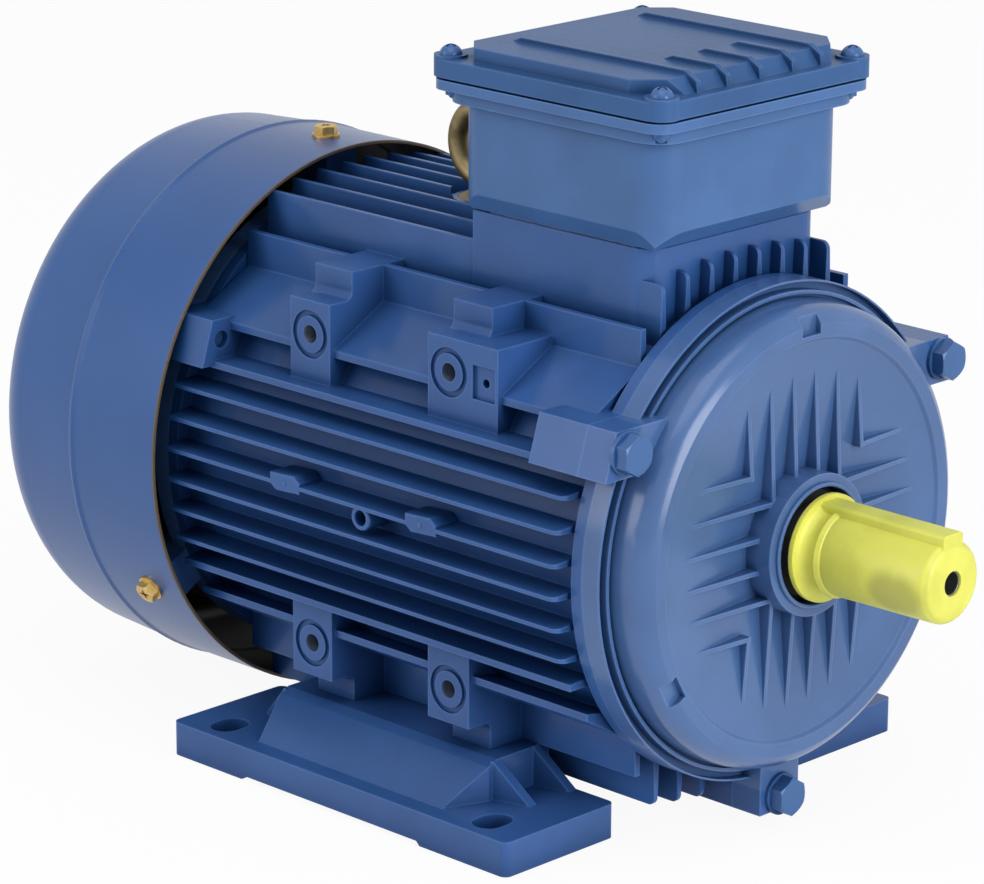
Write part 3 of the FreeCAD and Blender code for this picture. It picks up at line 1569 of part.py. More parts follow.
def wave_washer():
    """Spring washer that preloads the rear bearing, between its outer ring and the shield."""
    high = bearing_rear_x - bearing_width - 0.6
    return ring_x(bearing_outer_radius - 0.5, bearing_shoulder_radius_outer, high - 1.0, high)


def stator_core():
    """Lamination stack with open slots."""
    body = ring_x(core_radius, stator_bore_radius, core_rear_x, core_front_x)
    return body.cut(slot_bars(core_rear_x - 1.0, core_front_x + 1.0))


def slot_bars(x_low, x_high):
    bars = []
    low = axis_z + stator_bore_radius + 1.2
    bar = box_between(x_low, x_high, -slot_width / 2.0, slot_width / 2.0, low, low + slot_depth)
    mouth = box_between(x_low, x_high, -slot_width / 5.0, slot_width / 5.0, low - 3.0, low + 1.0)
    for slot in range(stator_slots):
        turn = 360.0 * slot / stator_slots
        bars.append(about_axis(bar.fuse(mouth), turn))
    return bars


def stator_winding():
    """Copper bars in the slots, joined by a bound coil ring at each end."""
    low = axis_z + stator_bore_radius + 1.2 + seat_gap
    depth = slot_depth - 2.0 * seat_gap
    width = slot_width - 2.0 * seat_gap
    bars = []
    bar = box_between(core_rear_x - 4.0, core_front_x + 4.0, -width / 2.0, width / 2.0, low, low + depth)
    for slot in range(stator_slots):
        bars.append(about_axis(bar, 360.0 * slot / stator_slots))
    rings = []
    for face_x, way in ((core_front_x, 1.0), (core_rear_x, -1.0)):
        near = face_x + way * 3.0
        far = face_x + way * coil_overhang
        outline = [
            (near, coil_inner_radius),
            (near, coil_outer_radius - coil_corner),
            (near + way * coil_corner, coil_outer_radius),
            (far - way * coil_corner, coil_outer_radius),
            (far, coil_outer_radius - coil_corner),
            (far, coil_inner_radius + coil_corner),
            (far - way * coil_corner, coil_inner_radius),
        ]
        rings.append(turned(outline))
    return rings[0].fuse(rings[1:] + bars)


def rotor_core():
    radius = stator_bore_radius - air_gap
    return ring_x(radius, shaft_core_radius + seat_gap, core_rear_x, core_front_x)


def rotor_cage_ends():
    """Cast aluminium end rings with their stirring blades."""
    rings = []
    outer = stator_bore_radius - air_gap - 2.0
    for face_x, way in ((core_front_x, 1.0), (core_rear_x, -1.0)):
        low = min(face_x, face_x + way * end_ring_width)
        ring = ring_x(outer, outer - end_ring_depth, low, low + end_ring_width)
        blade_low = min(face_x + way * end_ring_width * 0.5, face_x + way * (end_ring_width + rotor_blade_length))
        blade_long = end_ring_width * 0.5 + rotor_blade_length
        half = rotor_blade_thickness / 2.0
        blades = []
        for blade in range(rotor_blade_count):
            plate = box_between(
                blade_low,
                blade_low + blade_long,
                -half,
                half,
                axis_z + outer - end_ring_depth + 2.0,
                axis_z + outer - 2.0,
            )
            blades.append(about_axis(plate, 360.0 * blade / rotor_blade_count))
        rings.append(ring.fuse(blades))
    return group(rings)


def main():
    os.makedirs("parts", exist_ok=True)
    save("stator_frame", stator_frame())
    save("drive_end_shield", drive_end_shield())
    save("fan_end_shield", fan_end_shield())
    bolts, washers = shield_bolts(housing_front_x + lug_shield_length, Vector(1, 0, 0))
    save("drive_end_bolts", bolts)
    save("drive_end_washers", washers)
    bolts, washers = shield_bolts(housing_rear_x - lug_shield_length, Vector(-1, 0, 0))
    save("fan_end_bolts", bolts)
    save("fan_end_washers", washers)
    save("foot_left", foot(-1))
    save("foot_right", foot(1))
    save("foot_bolts", foot_bolts())
    save("terminal_box", terminal_box())
    save("box_gasket", box_gasket())
    save("box_screws", box_screws())
    save("terminal_lid", terminal_lid())
    save("lid_gasket", lid_gasket())
    save("lid_screws", lid_screws())
    save("terminal_board", terminal_board())
    save("terminal_studs", terminal_studs())
    save("terminal_links", terminal_links())
    save("terminal_nuts", terminal_nuts())
    save("earth_screw", earth_screw())
    save("cable_gland", cable_gland())
    save("gland_nut", gland_nut())
    save("gland_locknut", gland_locknut())
    save("blanking_plug", blanking_plug())
    save("eyebolt", eyebolt())
    save("fan_cowl", fan_cowl())
    screws, washers = cowl_screws()
    save("cowl_screws", screws)
    save("cowl_washers", washers)
    save("fan", fan())
    save("fan_clip", fan_clip())
    save("shaft", shaft())
    save("shaft_key", key_prism(key_depth))
    save("shaft_sleeve", shaft_sleeve())
    save("shaft_seal", shaft_seal())
    for end, x_front in (("front", bearing_front_x), ("rear", bearing_rear_x)):
        outer, inner, balls, cage = bearing_parts(x_front)
        save(end + "_bearing_outer_ring", outer)
        save(end + "_bearing_inner_ring", inner)
        save(end + "_bearing_balls", balls)
        save(end + "_bearing_cage", cage)
    save("wave_washer", wave_washer())
    save("stator_core", stator_core())
    save("stator_winding", stator_winding())
    save("rotor_core", rotor_core())
    save("rotor_cage_ends", rotor_cage_ends())


main()
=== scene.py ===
# %% [markdown]
# The part is a foot-mounted three-phase motor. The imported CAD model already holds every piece
# at its true place and size, in metres: +X runs out along the shaft, +Z is up, and the origin
# lies on the foot plane between the two front foot slots. The motor could be built again from
# meshes here, but the solids are exact, so this file only dresses them. It gives each piece the
# finish of the real one and adds the small details that a casting has.

# %% Load the frame
import json
import math

import bpy
import bmesh
from mathutils import Matrix, Vector


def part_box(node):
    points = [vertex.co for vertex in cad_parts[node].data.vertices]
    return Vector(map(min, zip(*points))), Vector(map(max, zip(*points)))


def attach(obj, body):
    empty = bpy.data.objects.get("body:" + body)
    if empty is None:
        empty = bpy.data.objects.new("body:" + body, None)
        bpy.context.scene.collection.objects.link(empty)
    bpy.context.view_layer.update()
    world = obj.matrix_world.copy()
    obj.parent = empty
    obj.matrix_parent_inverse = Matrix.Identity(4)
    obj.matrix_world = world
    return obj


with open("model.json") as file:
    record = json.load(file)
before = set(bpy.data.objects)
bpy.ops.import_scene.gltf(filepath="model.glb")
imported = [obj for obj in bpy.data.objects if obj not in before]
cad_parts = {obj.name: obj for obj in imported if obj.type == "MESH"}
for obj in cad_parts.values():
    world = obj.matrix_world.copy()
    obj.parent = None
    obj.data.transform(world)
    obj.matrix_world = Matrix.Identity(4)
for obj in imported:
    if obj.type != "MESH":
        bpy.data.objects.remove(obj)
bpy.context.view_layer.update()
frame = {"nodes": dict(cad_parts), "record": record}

nodes = frame["nodes"]
axis_height = 0.112
cowl_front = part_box("fan_cowl")[1].x

# %% [markdown]
# A material in Blender is a graph of nodes. It could be wired one link at a time, but such a
# script is slow to read. Here a small class wraps one output socket and gives it the usual
# arithmetic signs, so that a mask is written like any sum in Python. Each sign adds one Math
# node. The forms that start with r let a plain number stand on the left, as in 1.0 - mask.

# %% Shader arithmetic
class Signal:
    """One value that varies over a surface, with arithmetic that adds Math nodes."""

    def __init__(self, finish, socket):
        self.finish = finish
        self.socket = socket

    def maths(self, operation, first, second):
        return self.finish.node("ShaderNodeMath", {"operation": operation}, {0: first, 1: second})

    def __add__(self, other):
        return self.maths("ADD", self, other)

    def __radd__(self, other):
        return self.maths("ADD", other, self)

    def __sub__(self, other):
        return self.maths("SUBTRACT", self, other)

    def __rsub__(self, other):
        return self.maths("SUBTRACT", other, self)

    def __mul__(self, other):
        return self.maths("MULTIPLY", self, other)

    def __rmul__(self, other):
        return self.maths("MULTIPLY", other, self)

    def at_least(self, other):
        return self.maths("MAXIMUM", self, other)

    def at_most(self, other):
        return self.maths("MINIMUM", self, other)


# %% [markdown]
# A finish is one material. Its node method makes any node from its type, its settings and what
# goes into its sockets. The other methods are the few patterns that nearly every finish on the
# motor uses: grain, a soft step between two values, a blend of two colours, and masks that find
# edges, corners, or the distance from the shaft. They take their places from the object's own
# coordinates, so the pattern stays on a piece when the piece moves.

# %% Finishes
bevel_samples = 4
shadow_samples = 6


class Finish:
    """One material, or the world, with a short way to add nodes to it."""

    def __init__(self, name, world=None):
        self.material = world or bpy.data.materials.new(name)
        self.material.use_nodes = True
        self.tree = self.material.node_tree
        self.shader = self.tree.nodes.get("Principled BSDF")

    def node(self, kind, settings=None, sockets=None, out=0):
        made = self.tree.nodes.new(kind)
        for name, value in (settings or {}).items():
            if name == "stops":
                self.place_stops(made.color_ramp.elements, value)
            else:
                setattr(made, name, value)
        for key, value in (sockets or {}).items():
            self.feed(made.inputs[key], value)
        return Signal(self, made.outputs[out])

    def place_stops(self, elements, stops):
        """Sets a ramp's stops. A new ramp has two, and any more are added."""
        for index, (place, tint) in enumerate(stops):
            stop = elements[index] if index < 2 else elements.new(place)
            stop.position = place
            stop.color = tint

    def feed(self, socket, value):
        if isinstance(value, Signal):
            self.tree.links.new(value.socket, socket)
        else:
            socket.default_value = value

    def set(self, **values):
        """Feeds the shader's own sockets, with an underscore for each space in a name."""
        for name, value in values.items():
            self.feed(self.shader.inputs[name.replace("_", " ")], value)

    def show_as(self, shader):
        """Sends another shader to the output instead of the first one."""
        ends = [node for node in self.tree.nodes if node.type.startswith("OUTPUT")]
        self.tree.links.new(shader.socket, ends[0].inputs["Surface"])

    def place(self):
        return self.node("ShaderNodeTexCoord", out="Object")

    def grain(self, per_metre, detail=3.0, roughness=0.5):
        sockets = {"Vector": self.place(), "Scale": per_metre, "Detail": detail, "Roughness": roughness}
        return self.node("ShaderNodeTexNoise", {}, sockets)

    def span(self, value, low, high):
        """0 below the low end, 1 above the high end, and a soft step between them."""
        sockets = {0: value, 1: low, 2: high, 3: 0.0, 4: 1.0}
        return self.node("ShaderNodeMapRange", {"interpolation_type": "SMOOTHSTEP"}, sockets)

    def blend(self, mask, colour_a, colour_b):
        sockets = {0: mask, 6: colour_a, 7: colour_b}
        return self.node("ShaderNodeMix", {"data_type": "RGBA"}, sockets, out=2)

    def vectors(self, operation, first, second=(0.0, 0.0, 0.0), out="Vector"):
        sockets = {0: first, 1: second}
        return self.node("ShaderNodeVectorMath", {"operation": operation}, sockets, out)

    def flat_normal(self):
        return self.node("ShaderNodeNewGeometry", out="True Normal")

    def soft_normal(self, radius):
        return self.node("ShaderNodeBevel", {"samples": bevel_samples}, {"Radius": radius})

    def edges(self, radius):
        """1 on edges and corners, 0 on open faces."""
        likeness = self.vectors("DOT_PRODUCT", self.soft_normal(radius), self.flat_normal(), "Value")
        return self.span(1.0 - likeness, 0.02, 0.2)

    def shadowed(self, distance):
        """1 in open places, towards 0 in corners and between fins."""
        settings = {"samples": shadow_samples}
        return self.node("ShaderNodeAmbientOcclusion", settings, {"Distance": distance}, out="AO")

    def across_axis(self):
        """Vector from the shaft axis to the surface, square to the axis."""
        lifted = self.vectors("SUBTRACT", self.place(), (0.0, 0.0, axis_height))
        return self.vectors("MULTIPLY", lifted, (0.0, 1.0, 1.0))

    def from_axis(self):
        """Distance from the shaft axis."""
        return self.vectors("LENGTH", self.across_axis(), out="Value")

    def facing_out(self):
        """1 where the surface faces away from the shaft axis, -1 where it faces the axis."""
        outward = self.vectors("NORMALIZE", self.across_axis())
        return self.vectors("DOT_PRODUCT", self.flat_normal(), outward, "Value")

    def along_shaft(self):
        return self.node("ShaderNodeSeparateXYZ", {}, {0: self.place()}, out="X")

    def near(self, point, radius):
        """1 at a point of the model, falling softly to 0 at the radius."""
        apart = self.vectors("DISTANCE", self.place(), point, "Value")
        return self.span(apart, radius, radius * 0.45)

    def bump(self, height, distance, radius):
        """A relief on top of edges that are rounded by the radius."""
        sockets = {"Height": height, "Distance": distance, "Normal": self.soft_normal(radius)}
        return self.node("ShaderNodeBump", {}, sockets)


# %% [markdown]
# Colours are easiest to choose as ordinary screen colours from 0 to 255, but a shader takes
# linear ones. One function changes the first into the second, and another makes a lighter or
# deeper relation of a colour, so that all shades of one paint come from the same base.

# %% Colours
def colour(red, green, blue):
    """Turns an ordinary 0 to 255 screen colour into the linear colour that a shader takes."""
    def linear(value):
        value = value / 255.0
        return value / 12.92 if value <= 0.04045 else ((value + 0.055) / 1.055) ** 2.4
    return (linear(red), linear(green), linear(blue), 1.0)


def tinted(base, shares, lift=0.0):
    """A colour with its red, green and blue scaled by three shares, and lifted."""
    parts = [min(1.0, part * share + lift) for part, share in zip(base[:3], shares)]
    return (*parts, 1.0)


motor_blue = colour(51, 88, 145)
print("motor blue is", [round(part, 3) for part in motor_blue])

# %% [markdown]
# The castings are aluminium under one coat of blue paint. Sand and die texture shows through it
# as a faint unevenness. Edges are rounded and get a painted highlight, and between the fins the
# paint gets painted shade and less gloss. A picture of real paint could be laid over the model, but
# it would stretch on the fins, so noise in the model's own coordinates gives the unevenness. The
# rounding could be cut into the mesh; a Bevel node does it in the shading and leaves the solids
# as they are. Ambient Occlusion finds the places between the fins, and the distance along the
# shaft finds the painted shade behind the cowl's edge.

# %% Casting paint
clouds_per_metre = 26.0
pits_per_metre = 560.0
waves_per_metre = 90.0
cloud_shares = (0.86, 0.86, 0.86)
painted_shade_shares = (0.22, 0.38, 0.46)
highlight_shares = (1.7, 1.7, 1.7)
highlight_lift = 0.03
lug_start = 0.0955
lug_gloss_loss = 0.45


def casting_paint(
    name, base, rounding=0.0009, roughness=0.42, reach=0.016, depth=1.0, gloss=0.45, lug_base=None
):
    """Blue paint with painted shade by a depth over a reach in corners and behind the cowl's edge,
    painted highlights on edges, and another base on the lugs.
    """
    finish = Finish(name)
    clouds = finish.grain(clouds_per_metre)
    pits = finish.grain(pits_per_metre, 4.0, 0.6)
    waves = finish.grain(waves_per_metre, 2.0)
    # Painted shade: a mask of open, unshaded places, from ambient occlusion and from the place behind
    # the cowl's edge.
    lit = finish.span(finish.along_shaft(), cowl_front - 0.003, cowl_front + 0.011)
    unshaded = finish.span(finish.shadowed(reach), 0.2, 0.9) * lit
    tone = finish.blend(finish.span(clouds, 0.35, 0.65), tinted(base, cloud_shares), base)
    if lug_base:
        on_lug = finish.span(finish.from_axis(), lug_start, lug_start + 0.001)
        tone = finish.blend(on_lug, tone, lug_base)
        gloss = gloss * (1.0 - lug_gloss_loss * on_lug)
    # Painted shade: the tone goes towards a deep copy of the base where light is blocked.
    tone = finish.blend((1.0 - unshaded) * depth, tone, tinted(base, painted_shade_shares))
    # Painted highlight: edges and corners are made lighter, most of all in open places.
    painted_edge_highlight = finish.edges(rounding * 1.3) * (0.05 + 0.85 * unshaded)
    tone = finish.blend(painted_edge_highlight, tone, tinted(base, highlight_shares, highlight_lift))
    finish.set(
        Base_Color=tone,
        Roughness=roughness - 0.05 + 0.12 * pits,
        Normal=finish.bump((waves + pits) * 0.5, 0.0002, rounding),
        Coat_Weight=gloss * unshaded,
        Coat_Roughness=0.2,
        Specular_IOR_Level=0.1,
    )
    return finish.material


# The shield and box take lighter copies of the motor blue and the lid a darker one: painted sheen on
# the shield and box, and painted shade on the lid's top, for how the light falls on them. The shield's
# lugs keep the motor blue.
housing_paint = casting_paint("housing_paint", motor_blue)
shield_paint = casting_paint(
    "shield_paint", colour(68, 100, 150), reach=0.005, depth=0.55, gloss=0.8, lug_base=motor_blue
)
bolt_paint = casting_paint(
    "bolt_paint", colour(60, 96, 148), rounding=0.0004, roughness=0.34, depth=0.8
)
box_paint = casting_paint("box_paint", colour(66, 103, 154))
lid_paint = casting_paint("lid_paint", colour(55, 90, 138), gloss=0.15)
print("painted castings", housing_paint.name, shield_paint.name, box_paint.name, lid_paint.name)

# %% [markdown]
# The cowl is pressed from sheet steel. Its paint is smoother than on the castings. Inside it is
# near black, and the cut edge at the front is bare with a bronze tinge. Three
# materials on three sets of faces could show that, but the faces belong to the CAD mesh. One
# material does all three: it tells the inside by a normal that points towards the shaft axis,
# and the cut edge by its place along the shaft.

# %% Cowl paint
def cowl_finish():
    finish = Finish("cowl_paint")
    spread = finish.grain(14.0, 2.0)
    peel = finish.grain(900.0, 2.0)
    tone = finish.blend(finish.span(spread, 0.3, 0.7), colour(36, 78, 136), colour(41, 84, 144))
    # The inside of the cowl is made near black, whatever the light there.
    inside = finish.span(finish.facing_out(), -0.2, -0.5)
    near_black_inside = colour(22, 24, 32)
    tone = finish.blend(inside, tone, near_black_inside)
    rim = finish.span(finish.along_shaft(), cowl_front - 0.0008, cowl_front - 0.0003)
    bronze = colour(104, 90, 72)
    tone = finish.blend(rim, tone, bronze)
    finish.set(
        Base_Color=tone,
        Roughness=0.33 + 0.1 * peel,
        Normal=finish.bump(peel, 0.00005, 0.002),
        Coat_Weight=0.6,
        Coat_Roughness=0.25,
        Specular_IOR_Level=0.15,
    )
    return finish.material


cowl_paint = cowl_finish()
print("cowl", cowl_paint.name)

# %% [markdown]
# Zinc plated in yellow chromate is not one gold: it drifts between straw, green and rose. One
# flat tint would look like brass paint. So a slow noise picks the place on a ramp of a few
# tints, and a finer one dulls the metal in patches. The plain metals are made the same way,
# with tints that lie closer together.

# %% Yellow zinc and plain metals
def metal(name, tints, roughness, scratch=0.1, per_metre=160.0):
    finish = Finish(name)
    drift = finish.grain(per_metre)
    fine = finish.grain(per_metre * 9.0, 3.0, 0.6)
    step = 0.5 / (len(tints) - 1)
    stops = [(0.25 + index * step, tint) for index, tint in enumerate(tints)]
    finish.set(
        Base_Color=finish.node("ShaderNodeValToRGB", {"stops": stops}, {"Fac": drift}),
        Metallic=1.0,
        Roughness=roughness + scratch * fine,
        Normal=finish.bump(fine, 0.00004, 0.00025),
    )
    return finish.material


gold_tints = [colour(196, 160, 92), colour(214, 184, 116), colour(176, 140, 84)]
yellow_zinc = metal("yellow_zinc", gold_tints, 0.28, 0.2)
eye_tints = [colour(112, 98, 70), colour(138, 124, 92), colour(92, 80, 58)]
dull_zinc = metal("dull_zinc", eye_tints, 0.42, 0.2, 120.0)
bright_steel = metal("bright_steel", [colour(196, 198, 200), colour(176, 179, 184)], 0.24)
bearing_steel = metal("bearing_steel", [colour(214, 216, 218), colour(202, 205, 209)], 0.12, 0.05)
electrical_steel = metal("electrical_steel", [colour(108, 112, 118), colour(84, 88, 96)], 0.45)
brass = metal("brass", [colour(206, 174, 98), colour(186, 150, 82)], 0.25)
cast_tints = [colour(190, 192, 196), colour(164, 167, 172)]
cast_aluminium = metal("cast_aluminium", cast_tints, 0.42, 0.2)
cut_thread = metal("cut_thread", [colour(74, 84, 100), colour(52, 60, 76)], 0.5)
copper_tints = [colour(168, 92, 52), colour(132, 66, 38)]
winding_copper = metal("winding_copper", copper_tints, 0.3, 0.2, 400.0)
print("metals from", yellow_zinc.name, "to", winding_copper.name)

# %% [markdown]
# The transport sleeve is soft polyethylene, moulded thin, and light goes a little way into it. A
# patch low on its side is darker: partly the steel shaft inside showing through, and partly
# painted shade. A see-through shader could show the shaft itself, but it is slow and grainy.
# Subsurface scattering gives the soft look, and two soft round masks that overlap give the dark patch.

# %% Plastics and rubber
def plastic(name, light, dark, roughness, per_metre=60.0):
    finish = Finish(name)
    drift = finish.grain(per_metre)
    fine = finish.grain(per_metre * 14.0)
    finish.set(
        Base_Color=finish.blend(finish.span(drift, 0.35, 0.65), dark, light),
        Roughness=roughness + 0.1 * fine,
        Normal=finish.bump(fine, 0.00005, 0.0004),
    )
    return finish


def sleeve_finish():
    finish = plastic("sleeve_plastic", colour(224, 222, 92), colour(206, 205, 80), 0.36, 45.0)
    clear = Signal(finish, finish.shader.inputs["Base Color"].links[0].from_socket)
    # Painted shade: the patch low on the side is darker, partly for the shaft showing through and
    # partly for shade.
    rear_end = finish.near((0.1135, -0.0150, 0.1070), 0.0115)
    front_end = finish.near((0.1195, -0.0150, 0.1070), 0.0115)
    shaft_and_shade_patch = rear_end.at_least(front_end)
    steel_and_shade_tint = colour(150, 148, 74)
    finish.set(
        Base_Color=finish.blend(shaft_and_shade_patch * 0.6, clear, steel_and_shade_tint),
        Subsurface_Weight=0.35,
        Subsurface_Radius=(0.004, 0.004, 0.0015),
        Subsurface_Scale=1.0,
    )
    return finish.material


sleeve_plastic = sleeve_finish()
black_rubber = plastic("black_rubber", colour(30, 30, 32), colour(22, 22, 24), 0.62).material
pale_gasket = plastic("pale_gasket", colour(176, 188, 214), colour(146, 160, 190), 0.5).material
black_plastic = plastic("black_plastic", colour(34, 35, 38), colour(26, 27, 30), 0.4).material
board_plastic = plastic("board_plastic", colour(178, 170, 150), colour(164, 156, 138), 0.5).material
cage_plastic = plastic("cage_plastic", colour(120, 104, 70), colour(104, 90, 60), 0.45).material
print("plastics from", sleeve_plastic.name, "to", cage_plastic.name)

# %% [markdown]
# Each CAD node now takes its finish. Each could be named one by one, but the record already
# gives every node one material slot. So a short table from slot to finish covers all of them,
# and a second one holds the few nodes whose finish differs a little from the rest: the eyebolt's
# duller zinc, and the shield, box and lid, whose lighter or darker copies of the blue are
# painted sheen and painted shade.

# %% Give every node its finish
finish_of_slot = {
    "housing_paint": housing_paint,
    "bolt_paint": bolt_paint,
    "cowl_paint": cowl_paint,
    "yellow_zinc": yellow_zinc,
    "sleeve_plastic": sleeve_plastic,
    "black_rubber": black_rubber,
    "pale_gasket": pale_gasket,
    "bright_steel": bright_steel,
    "bearing_steel": bearing_steel,
    "electrical_steel": electrical_steel,
    "copper": winding_copper,
    "brass": brass,
    "cast_aluminium": cast_aluminium,
    "board_plastic": board_plastic,
    "black_plastic": black_plastic,
    "cage_plastic": cage_plastic,
}
finish_of_node = {
    "eyebolt": dull_zinc,
    "drive_end_shield": shield_paint,
    "fan_end_shield": shield_paint,
    "terminal_box": box_paint,
    "terminal_lid": lid_paint,
}
for subpart in frame["record"]["subparts"]:
    holder = nodes[subpart["node"]]
    common = finish_of_slot[subpart["material_slot"]]
    for slot in holder.material_slots:
        slot.material = finish_of_node.get(subpart["node"], common)

# %% [markdown]
# The photograph was taken from a little above, with a long lens. A camera could be moved by eye
# until the picture fits. Here it is set from three measured facts: where it stands, which way
# its axis points, and how much it magnifies. Its axis does not pass through the middle of the
# picture, so a small lens shift moves the frame.

# %% Camera
camera_azimuth = math.radians(44.51)
camera_elevation = math.radians(16.56)
camera_roll = math.radians(0.21)
camera_place = Vector((1.0413, -1.1605, 0.6042))
back = Vector((
    math.sin(camera_azimuth) * math.cos(camera_elevation),
    -math.cos(camera_azimuth) * math.cos(camera_elevation),
    math.sin(camera_elevation),
))
right = Vector((math.cos(camera_azimuth), math.sin(camera_azimuth), 0.0))
up = back.cross(right)
turn = Matrix((right, up, back)).transposed() @ Matrix.Rotation(camera_roll, 3, "Z")
camera_data = bpy.data.cameras.new("camera")
camera_data.sensor_width = 36.0
camera_data.lens = 162.29
camera_data.shift_x = 0.0106
camera_data.shift_y = -0.01515
camera_data.clip_end = 20.0
camera = bpy.data.objects.new("camera", camera_data)
camera.matrix_world = Matrix.Translation(camera_place) @ turn.to_4x4()
bpy.context.scene.collection.objects.link(camera)
bpy.context.scene.camera = camera
print("camera stands", round(camera_place.length, 3), "m from the origin")

# %% [markdown]
# Small details ride on the CAD model. They could be made with modifiers, but a few outlines say
# exactly where every face lies. One helper stacks outlines and joins them with walls, one turns
# a profile round an axis, and one hands the finished mesh to the body that carries it. Where a
# stack is left open, its open end lies inside the casting.

# %% Helpers for added pieces
circle_steps = 48
weld_distance = 0.000001


def rounds_of(outlines):
    """A band of faces between each outline and the next."""
    shape = bmesh.new()
    rings = [[shape.verts.new(point) for point in outline] for outline in outlines]
    for near, far in zip(rings[:-1], rings[1:]):
        for index in range(len(near)):
            after = (index + 1) % len(near)
            shape.faces.new((near[index], near[after], far[after], far[index]))
    bmesh.ops.remove_doubles(shape, verts=shape.verts, dist=weld_distance)
    bmesh.ops.recalc_face_normals(shape, faces=shape.faces)
    return shape


def riding_piece(name, shape, finish, body):
    mesh = bpy.data.meshes.new(name)
    shape.to_mesh(mesh)
    shape.free()
    mesh.materials.append(finish)
    piece = bpy.data.objects.new(name, mesh)
    bpy.context.scene.collection.objects.link(piece)
    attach(piece, body)


def circle(radius, along):
    turns = [2.0 * math.pi * step / circle_steps for step in range(circle_steps)]
    return [(radius * math.cos(turn), radius * math.sin(turn), along) for turn in turns]


def turned_piece(
    name, profile, middle, direction, finish=housing_paint, body="stator"
):
    """Turns a profile of (distance along the direction, radius) round that direction."""
    shape = rounds_of([circle(radius, along) for along, radius in profile])
    facing = Vector(direction).to_track_quat("Z", "Y").to_matrix().to_4x4()
    shape.transform(Matrix.Translation(Vector(middle)) @ facing)
    riding_piece(name, shape, finish, body)


print("circles have", circle_steps, "steps")

# %% [markdown]
# The housing has eight pads, four on each side, and each has a threaded hole. A real thread is a
# helix, but at this size it can't be told from plain rings, and it is too fine for the solids.
# So each hole gets a thin liner with a zigzag wall, turned round the hole's axis, in the dark
# grey of cut metal.

# %% Threads in the pad holes
pad_face = 0.0835
pad_rise = 0.060
pad_places = (-0.106, -0.034)
thread_radius = 0.00338
thread_pitch = 0.00125
thread_depth = 0.0006
thread_turns = 10
thread_sink = 0.0001

pad_thread = []
for turn in range(thread_turns):
    pad_thread.append((-turn * thread_pitch, thread_radius))
    pad_thread.append((-(turn + 0.5) * thread_pitch, thread_radius - thread_depth))
pad_thread.append((-thread_turns * thread_pitch, thread_radius))
for side in (-1.0, 1.0):
    for level in (-1.0, 1.0):
        for x in pad_places:
            place = (x, side * (pad_face - thread_sink), axis_height + level * pad_rise)
            turned_piece(
                "pad_thread", pad_thread, place, (0.0, side, 0.0), cut_thread
            )
print("pads threaded at", round(pad_face * 2000.0), "mm across")

# %% [markdown]
# The die left marks between the fins of the visible side: two flat six-sided pads where the
# ejector pins pushed, each with a small dimple, and one round boss with a hole between them. A
# bump in the paint could hint at them, but they stand clear of the fins and cast a shadow, so
# they are small meshes that start inside the barrel.

# %% Die marks between the fins
six_corners = [(-1.0, -0.35), (-0.62, -1.0), (1.0, -0.8), (1.0, 0.35), (0.62, 1.0), (-1.0, 0.8)]
mark_reach = -0.0996
mark_root = -0.0880
mark_height = 0.1187
mark_places = (-0.1036, -0.0326)
mark_rounding = 0.0004
pad_half_long = 0.0078
pad_half_high = 0.0036
pad_face_half_long = 0.0073
pad_face_half_high = 0.0032
point_size = 0.0001


def six_sided(half_long, half_high, along):
    return [(half_long * x, along, half_high * z) for x, z in six_corners]


pad_outlines = [
    six_sided(pad_half_long, pad_half_high, mark_root),
    six_sided(pad_half_long, pad_half_high, mark_reach + mark_rounding),
    six_sided(pad_face_half_long, pad_face_half_high, mark_reach),
    six_sided(point_size, point_size, mark_reach),
]
dimple = [(0.0002, point_size), (0.0004, 0.0006), (0.0001, 0.0011)]
for x in mark_places:
    shape = rounds_of(pad_outlines)
    shape.transform(Matrix.Translation(Vector((x, 0.0, mark_height))))
    riding_piece("ejector_pad", shape, housing_paint, "stator")
    turned_piece("pad_dimple", dimple, (x, mark_reach, mark_height), (0.0, -1.0, 0.0))

boss_middle = (-0.0642, mark_reach + 0.001, 0.1139)
boss_length = mark_reach - mark_root
boss_radius = 0.0048
boss_face_radius = 0.0044
boss_hole_radius = 0.0030
boss_hole_root_radius = 0.0027
drill_boss = [
    (boss_length, boss_radius),
    (-0.0006, boss_radius),
    (0.0, boss_face_radius),
    (0.0, boss_hole_radius),
    (boss_length, boss_hole_root_radius),
]
turned_piece("drill_boss", drill_boss, boss_middle, (0.0, -1.0, 0.0))
print("ejector pads and drill boss stand between the fins")

# %% [markdown]
# The pedestal under the box is one smooth wall down to the fins, square at the rear, rounded
# at the front, with a thin lip round its top. The solid pedestal is a little smaller and round
# at all corners, and a CAD mesh may not be reshaped here. So the wall is set round it as a shell
# of stacked outlines, whose lower end is lost among the fins.

# %% Pedestal wall
skirt_rear = -0.0585
skirt_front = 0.0285
skirt_half_width = 0.0466
skirt_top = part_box("box_gasket")[0].z
skirt_low = 0.180
skirt_bend = 0.0105
skirt_thickness = 0.003
lip_slope = 0.0003
lip_width = 0.001
lip_height = 0.0004
lip_fall = 0.0002
lip_drop = 0.0003
quarter_steps = 8


def skirt_outline(inset, height):
    """Pedestal wall seen from above, with sharp rear corners and rounded front ones."""
    rear = skirt_rear + inset
    front = skirt_front - inset
    half = skirt_half_width - inset
    bend = skirt_bend - inset
    points = [(rear, half, height)]
    for side, first_turn in ((1.0, 90.0), (-1.0, 0.0)):
        for step in range(quarter_steps + 1):
            turn = math.radians(first_turn - 90.0 * step / quarter_steps)
            x = front - bend + bend * math.cos(turn)
            y = side * (half - bend) + bend * math.sin(turn)
            points.append((x, y, height))
    return points + [(rear, -half, height)]


